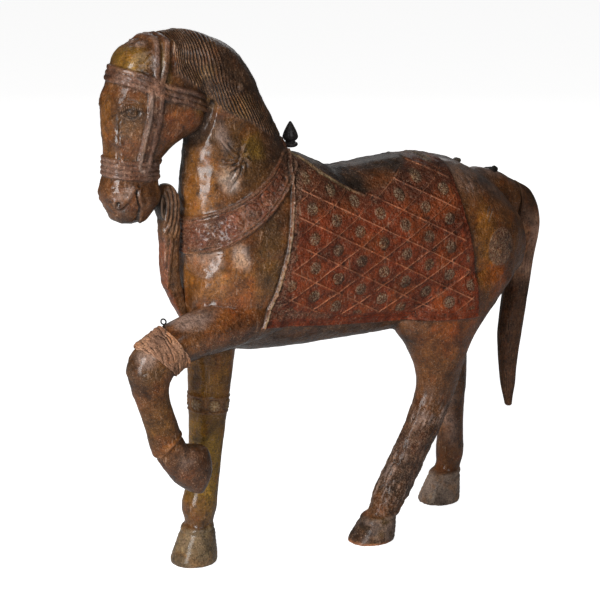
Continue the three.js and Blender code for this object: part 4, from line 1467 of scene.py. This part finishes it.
sway = plus(tree, plus(tree, swing(broad, 1.8), swing(close, 1.5)), swing(fine, 1.1))
shade = work(tree, "MAXIMUM", work(tree, "MULTIPLY_ADD", sway, given["Mottle"], 1.0), 0.2)
toned = blend(tree, "MULTIPLY", 1.0, given["Paint"], shade)
warm = ramp(tree, noise(tree, spot, 42, 3, 0.6), 0.50, 0.66)
toned = tint(tree, toned, "MULTIPLY", warm, 0.5, (1.25, 0.88, 0.50, 1))
worn_dark = ramp(tree, noise(tree, spot, 24, 5, 0.6), 0.50, 0.62)
toned = tint(tree, toned, "MULTIPLY", worn_dark, 0.6, (0.42, 0.42, 0.46, 1))
light_spot = put(tree, "ShaderNodeMapping", Vector=spot, Location=(3, 1, 2)).outputs[0]
worn_light = ramp(tree, noise(tree, light_spot, 30, 5, 0.62), 0.54, 0.65)
toned = tint(tree, toned, "MULTIPLY", worn_light, 0.8, (1.55, 1.6, 1.5, 1))
stains = ramp(tree, noise(tree, spot, 110, 4, 0.68), 0.57, 0.67)
toned = tint(tree, toned, "MIX", stains, 0.4, SOOT)
print("tones:", len(tree.nodes), "nodes")

# %% Worn finish: dirt, painted shade and rubbing
# Dirt and painted shade darken the hollows.
in_hollow = ramp(tree, plus(tree, given["Hollow"], swing(close, 0.10)), 0.015, 0.14)
toned = tint(tree, toned, "MIX", in_hollow, given["Dirt"], SOOT)
proud = times(tree, given["Hollow"], -1.0)
on_edge = ramp(tree, plus(tree, proud, swing(close, 0.3)), 0.08, 0.26)
slanted = {"Rotation": (0.3, 0.7, 0.2), "Scale": (1, 1, 0.09)}
stroke_spot = put(tree, "ShaderNodeMapping", Vector=spot, **slanted).outputs[0]
speck_spot = put(tree, "ShaderNodeMapping", Vector=spot, Location=(5, 2, 7)).outputs[0]
strokes = ramp(tree, noise(tree, stroke_spot, 330, 2, 0.6), 0.61, 0.66)
strokes = times(tree, strokes, ramp(tree, broad, 0.45, 0.62))
flakes = ramp(tree, noise(tree, spot, 250, 3, 0.6), 0.61, 0.67)
flakes = times(tree, flakes, ramp(tree, close, 0.46, 0.60))
specks = ramp(tree, noise(tree, speck_spot, 480, 2, 0.5), 0.60, 0.67)
specks = times(tree, specks, ramp(tree, close, 0.42, 0.58))
dots = ramp(tree, noise(tree, spot, 380, 2, 0.6), 0.53, 0.60)
dots = times(tree, dots, given["Stipple"])
pin_holes = ramp(tree, noise(tree, speck_spot, 390, 2, 0.5), 0.42, 0.34)
toned = tint(tree, toned, "MIX", pin_holes, 0.6, SOOT)
rubbed = on_edge
for worn_place in (strokes, flakes, specks, dots):
    rubbed = work(tree, "MAXIMUM", rubbed, worn_place)
toned = tint(tree, toned, "MIX", rubbed, given["Rub"], given["Rubbed Colour"])
tree.links.new(toned, made["Color"])
print("tones, dirt and rubbing:", len(tree.nodes), "nodes")

# %% Worn finish: gloss and pits
matt = work(tree, "MAXIMUM", ramp(tree, close, 0.42, 0.68), times(tree, in_hollow, 0.8))
tree.links.new(matt, made["Matt"])
pits = ramp(tree, noise(tree, spot, 210, 3, 0.55), 0.34, 0.50)
height = plus(tree, swing(close, 2.8), swing(fine, 1.2))
height = plus(tree, height, times(tree, pits, 0.5))
tree.links.new(plus(tree, height, times(tree, dots, 0.4)), made["Height"])
print("group:", worn_finish.name, len(tree.nodes), "nodes")

# %% [markdown]
# ## Combed hair and the lattice
# The mane's strands were counted when they were carved. The count goes up by one at each strand, so
# a Ping-Pong node gives the place across a strand, with painted shade at the parting and a painted
# highlight along its crown.

# %% Combed hair
hair_shade_and_highlight, given, made = group(
    "hair_shade_and_highlight", colours_in=["Paint"], values_in=["Count", "Amount"], colours_out=["Color"],
    values_out=["Height"],
)
tree = hair_shade_and_highlight
strand = times(tree, work(tree, "PINGPONG", given["Count"], 0.5), 2.0)
# Painted shade in the parting between strands and a painted highlight along each crown.
parting_shade = times(tree, ramp(tree, strand, 0.5, 0.12), given["Amount"])
crown_highlight = times(tree, ramp(tree, strand, 0.68, 0.95), given["Amount"])
combed = tint(tree, given["Paint"], "MIX", parting_shade, 0.75, SOOT)
combed = tint(tree, combed, "MIX", crown_highlight, 0.5, colour(154, 118, 90))
tree.links.new(combed, made["Color"])
tree.links.new(times(tree, strand, given["Amount"]), made["Height"])
print("group:", hair_shade_and_highlight.name, len(tree.nodes), "nodes")

# %% Lattice of the cloth
LINE_HALF = 0.8

cloth_lattice, given, made = group(
    "cloth_lattice", colours_in=["Cloth"], values_in=["Quilt"], colours_out=["Color"])
tree = cloth_lattice
spot = put(tree, "ShaderNodeTexCoord").outputs["Object"]
apart = put(tree, "ShaderNodeSeparateXYZ", Vector=spot).outputs
lean = times(tree, work(tree, "SUBTRACT", apart["X"], NODE[0] * MM), LATTICE_SLOPE)
up = work(tree, "SUBTRACT", apart["Z"], NODE[1] * MM)
rising = work(tree, "DIVIDE", work(tree, "SUBTRACT", up, lean), LATTICE_PITCH * MM)
falling = work(tree, "DIVIDE", plus(tree, up, lean), LATTICE_PITCH * MM)
to_rising, to_falling = (work(tree, "PINGPONG", count, 0.5) for count in (rising, falling))
to_line = work(tree, "MINIMUM", to_rising, to_falling)
half_line = LINE_HALF * math.hypot(1, LATTICE_SLOPE) / LATTICE_PITCH
chipped = ramp(tree, noise(tree, spot, 55, 4, 0.65), 0.30, 0.52)
lines = times(tree, ramp(tree, to_line, half_line * 1.5, half_line * 0.6), chipped)
part_r, part_f = (work(tree, "FRACT", count) for count in (rising, falling))
du = times(tree, work(tree, "SUBTRACT", part_f, part_r), LATTICE_PITCH / 2 / LATTICE_SLOPE)
dv = times(tree, work(tree, "SUBTRACT", plus(tree, part_f, part_r), 1.0), LATTICE_PITCH / 2)
radius = work(tree, "SQRT", plus(tree, times(tree, du, du), times(tree, dv, dv)))
on_flower = ramp(tree, radius, FLOWER + 2, FLOWER - 2)
petals = times(tree, on_flower, ramp(tree, noise(tree, spot, 430, 1), 0.50, 0.58))
ground = tint(tree, given["Cloth"], "MIX", on_flower, 0.6, colour(58, 44, 30))
quilted = blend(tree, "MIX", given["Quilt"], given["Cloth"], ground)
for drawn, amount, pale in ((petals, 0.6, (142, 124, 100)), (lines, 0.7, (164, 106, 76))):
    quilted = tint(tree, quilted, "MIX", drawn, times(tree, given["Quilt"], amount), colour(*pale))
tree.links.new(quilted, made["Color"])
print("group:", cloth_lattice.name, len(tree.nodes), "nodes")

# %% [markdown]
# ## Materials
# One function makes every material. The horse's own is the only carved one: it also reads the cloth,
# the mane, the chip work and the matt places from the vertices.

# %% One function for the materials
COAT_ROUGHNESS, SPECULAR, BUMP_DISTANCE = 0.19, 0.14, 0.002


def attribute(tree, name, output="Fac"):
    """A value or colour that is kept on the vertices."""
    return put(tree, "ShaderNodeAttribute", {"attribute_name": name}).outputs[output]


def place_group(tree, made_group, **inputs):
    """A node group in a material; its outputs."""
    return put(tree, "ShaderNodeGroup", {"node_tree": made_group}, **inputs).outputs


def worn_material(
    name, paint=None, mottle=1.0, dirt=0.85, rub=0.45, rubbed=(164, 132, 108), gloss=(0.30, 0.60),
    coat=0.55, bump=0.9, metal=0.0, hollow=True, carved=False,
):
    """A material with the worn finish. paint is a fixed colour, or None for the painted vertices."""
    material = bpy.data.materials.new(name)
    material.use_nodes = True
    tree = material.node_tree
    shader = tree.nodes["Principled BSDF"].inputs
    under = attribute(tree, "paint", "Color") if paint is None else colour(*paint)
    if carved:
        under = place_group(tree, cloth_lattice, Cloth=under, Quilt=attribute(tree, "quilt"))["Color"]
        combing = {"Count": attribute(tree, "hair"), "Amount": attribute(tree, "combed")}
        hair = place_group(tree, hair_shade_and_highlight, Paint=under, **combing)
        under = hair["Color"]
    sockets = {"Paint": under, "Mottle": mottle, "Dirt": dirt, "Rub": rub}
    sockets["Rubbed_Colour"] = colour(*rubbed)
    sockets["Hollow"] = attribute(tree, "hollow") if hollow else 0.0
    sockets["Stipple"] = attribute(tree, "stipple") if carved else 0.0
    worn = place_group(tree, worn_finish, **sockets)
    matt, height = worn["Matt"], worn["Height"]
    shader["Coat Weight"].default_value = coat
    if carved:
        dull = attribute(tree, "matt")
        matt = work(tree, "MAXIMUM", matt, times(tree, dull, 0.7))
        height = plus(tree, height, hair["Height"])
        tree.links.new(work(tree, "MULTIPLY_ADD", dull, -0.75 * coat, coat), shader["Coat Weight"])
    roughness = work(tree, "MULTIPLY_ADD", matt, gloss[1] - gloss[0], gloss[0])
    raised = put(tree, "ShaderNodeBump", Strength=bump, Distance=BUMP_DISTANCE, Height=height)
    tree.links.new(worn["Color"], shader["Base Color"])
    tree.links.new(roughness, shader["Roughness"])
    tree.links.new(raised.outputs["Normal"], shader["Normal"])
    shader["Metallic"].default_value = metal
    shader["Coat Roughness"].default_value = COAT_ROUGHNESS
    shader["Specular IOR Level"].default_value = SPECULAR
    return material


painted_wood = worn_material("painted_wood", carved=True)
print("nodes of the horse's material:", [node.name for node in painted_wood.node_tree.nodes])

# %% A material for each piece
bare_iron = {"coat": 0.0, "hollow": False}
scroll_wood = worn_material("scroll_wood")
tail_wood = worn_material(
    "tail_wood", mottle=0.9, rub=0.35, rubbed=(150, 118, 92), gloss=(0.4, 0.7), coat=0.15)
black_turning = worn_material(
    "black_turning", paint=(40, 36, 36), rub=0.25, rubbed=(92, 84, 80), coat=0.2, hollow=False)
black_iron = worn_material(
    "black_iron", paint=(34, 30, 28), mottle=1.4, rub=0.4, rubbed=(86, 70, 60), gloss=(0.5, 0.8),
    bump=0.8, metal=0.35, **bare_iron)
nail_iron = worn_material(
    "nail_iron", paint=(74, 66, 60), rub=0.5, rubbed=(130, 120, 110), gloss=(0.4, 0.7), bump=0.6,
    metal=0.3, **bare_iron)
binding_cloth = worn_material(
    "binding_cloth", paint=(132, 96, 74), mottle=0.8, dirt=0.8, rub=0.5, rubbed=(186, 146, 120),
    gloss=(0.6, 0.9), coat=0.0, bump=0.8)
for piece, material in (
    (horse, painted_wood), (tail, tail_wood), (scroll, scroll_wood), (knob, black_turning),
    (stub, black_iron), (nail, nail_iron), (wire, black_iron), (binding, binding_cloth),
):
    piece.data.materials.clear()
    piece.data.materials.append(material)
print("materials:", [m.name for m in bpy.data.materials if m.users])

# %% [markdown]
# ## The pieces on the body
# Every piece rides on the horse's one body and stands for its own solid.

# %% Riding and replacing
PIECES = {
    "horse": (horse, "carved_wood"),
    "tail": (tail, "tail_wood"),
    "chest_scroll": (scroll, "carved_wood"),
    "saddle_finial": (knob, "dark_knob"),
    "croup_stub": (stub, "black_iron"),
    "croup_nail": (nail, "black_iron"),
    "knee_wire": (wire, "black_iron"),
    "knee_binding": (binding, "binding_cloth"),
}
for node, (piece, slot) in PIECES.items():
    piece.name = f"{node}_made"
    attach(piece, "root")
    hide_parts(node)
print("pieces:", [piece.name for piece, _ in PIECES.values()])
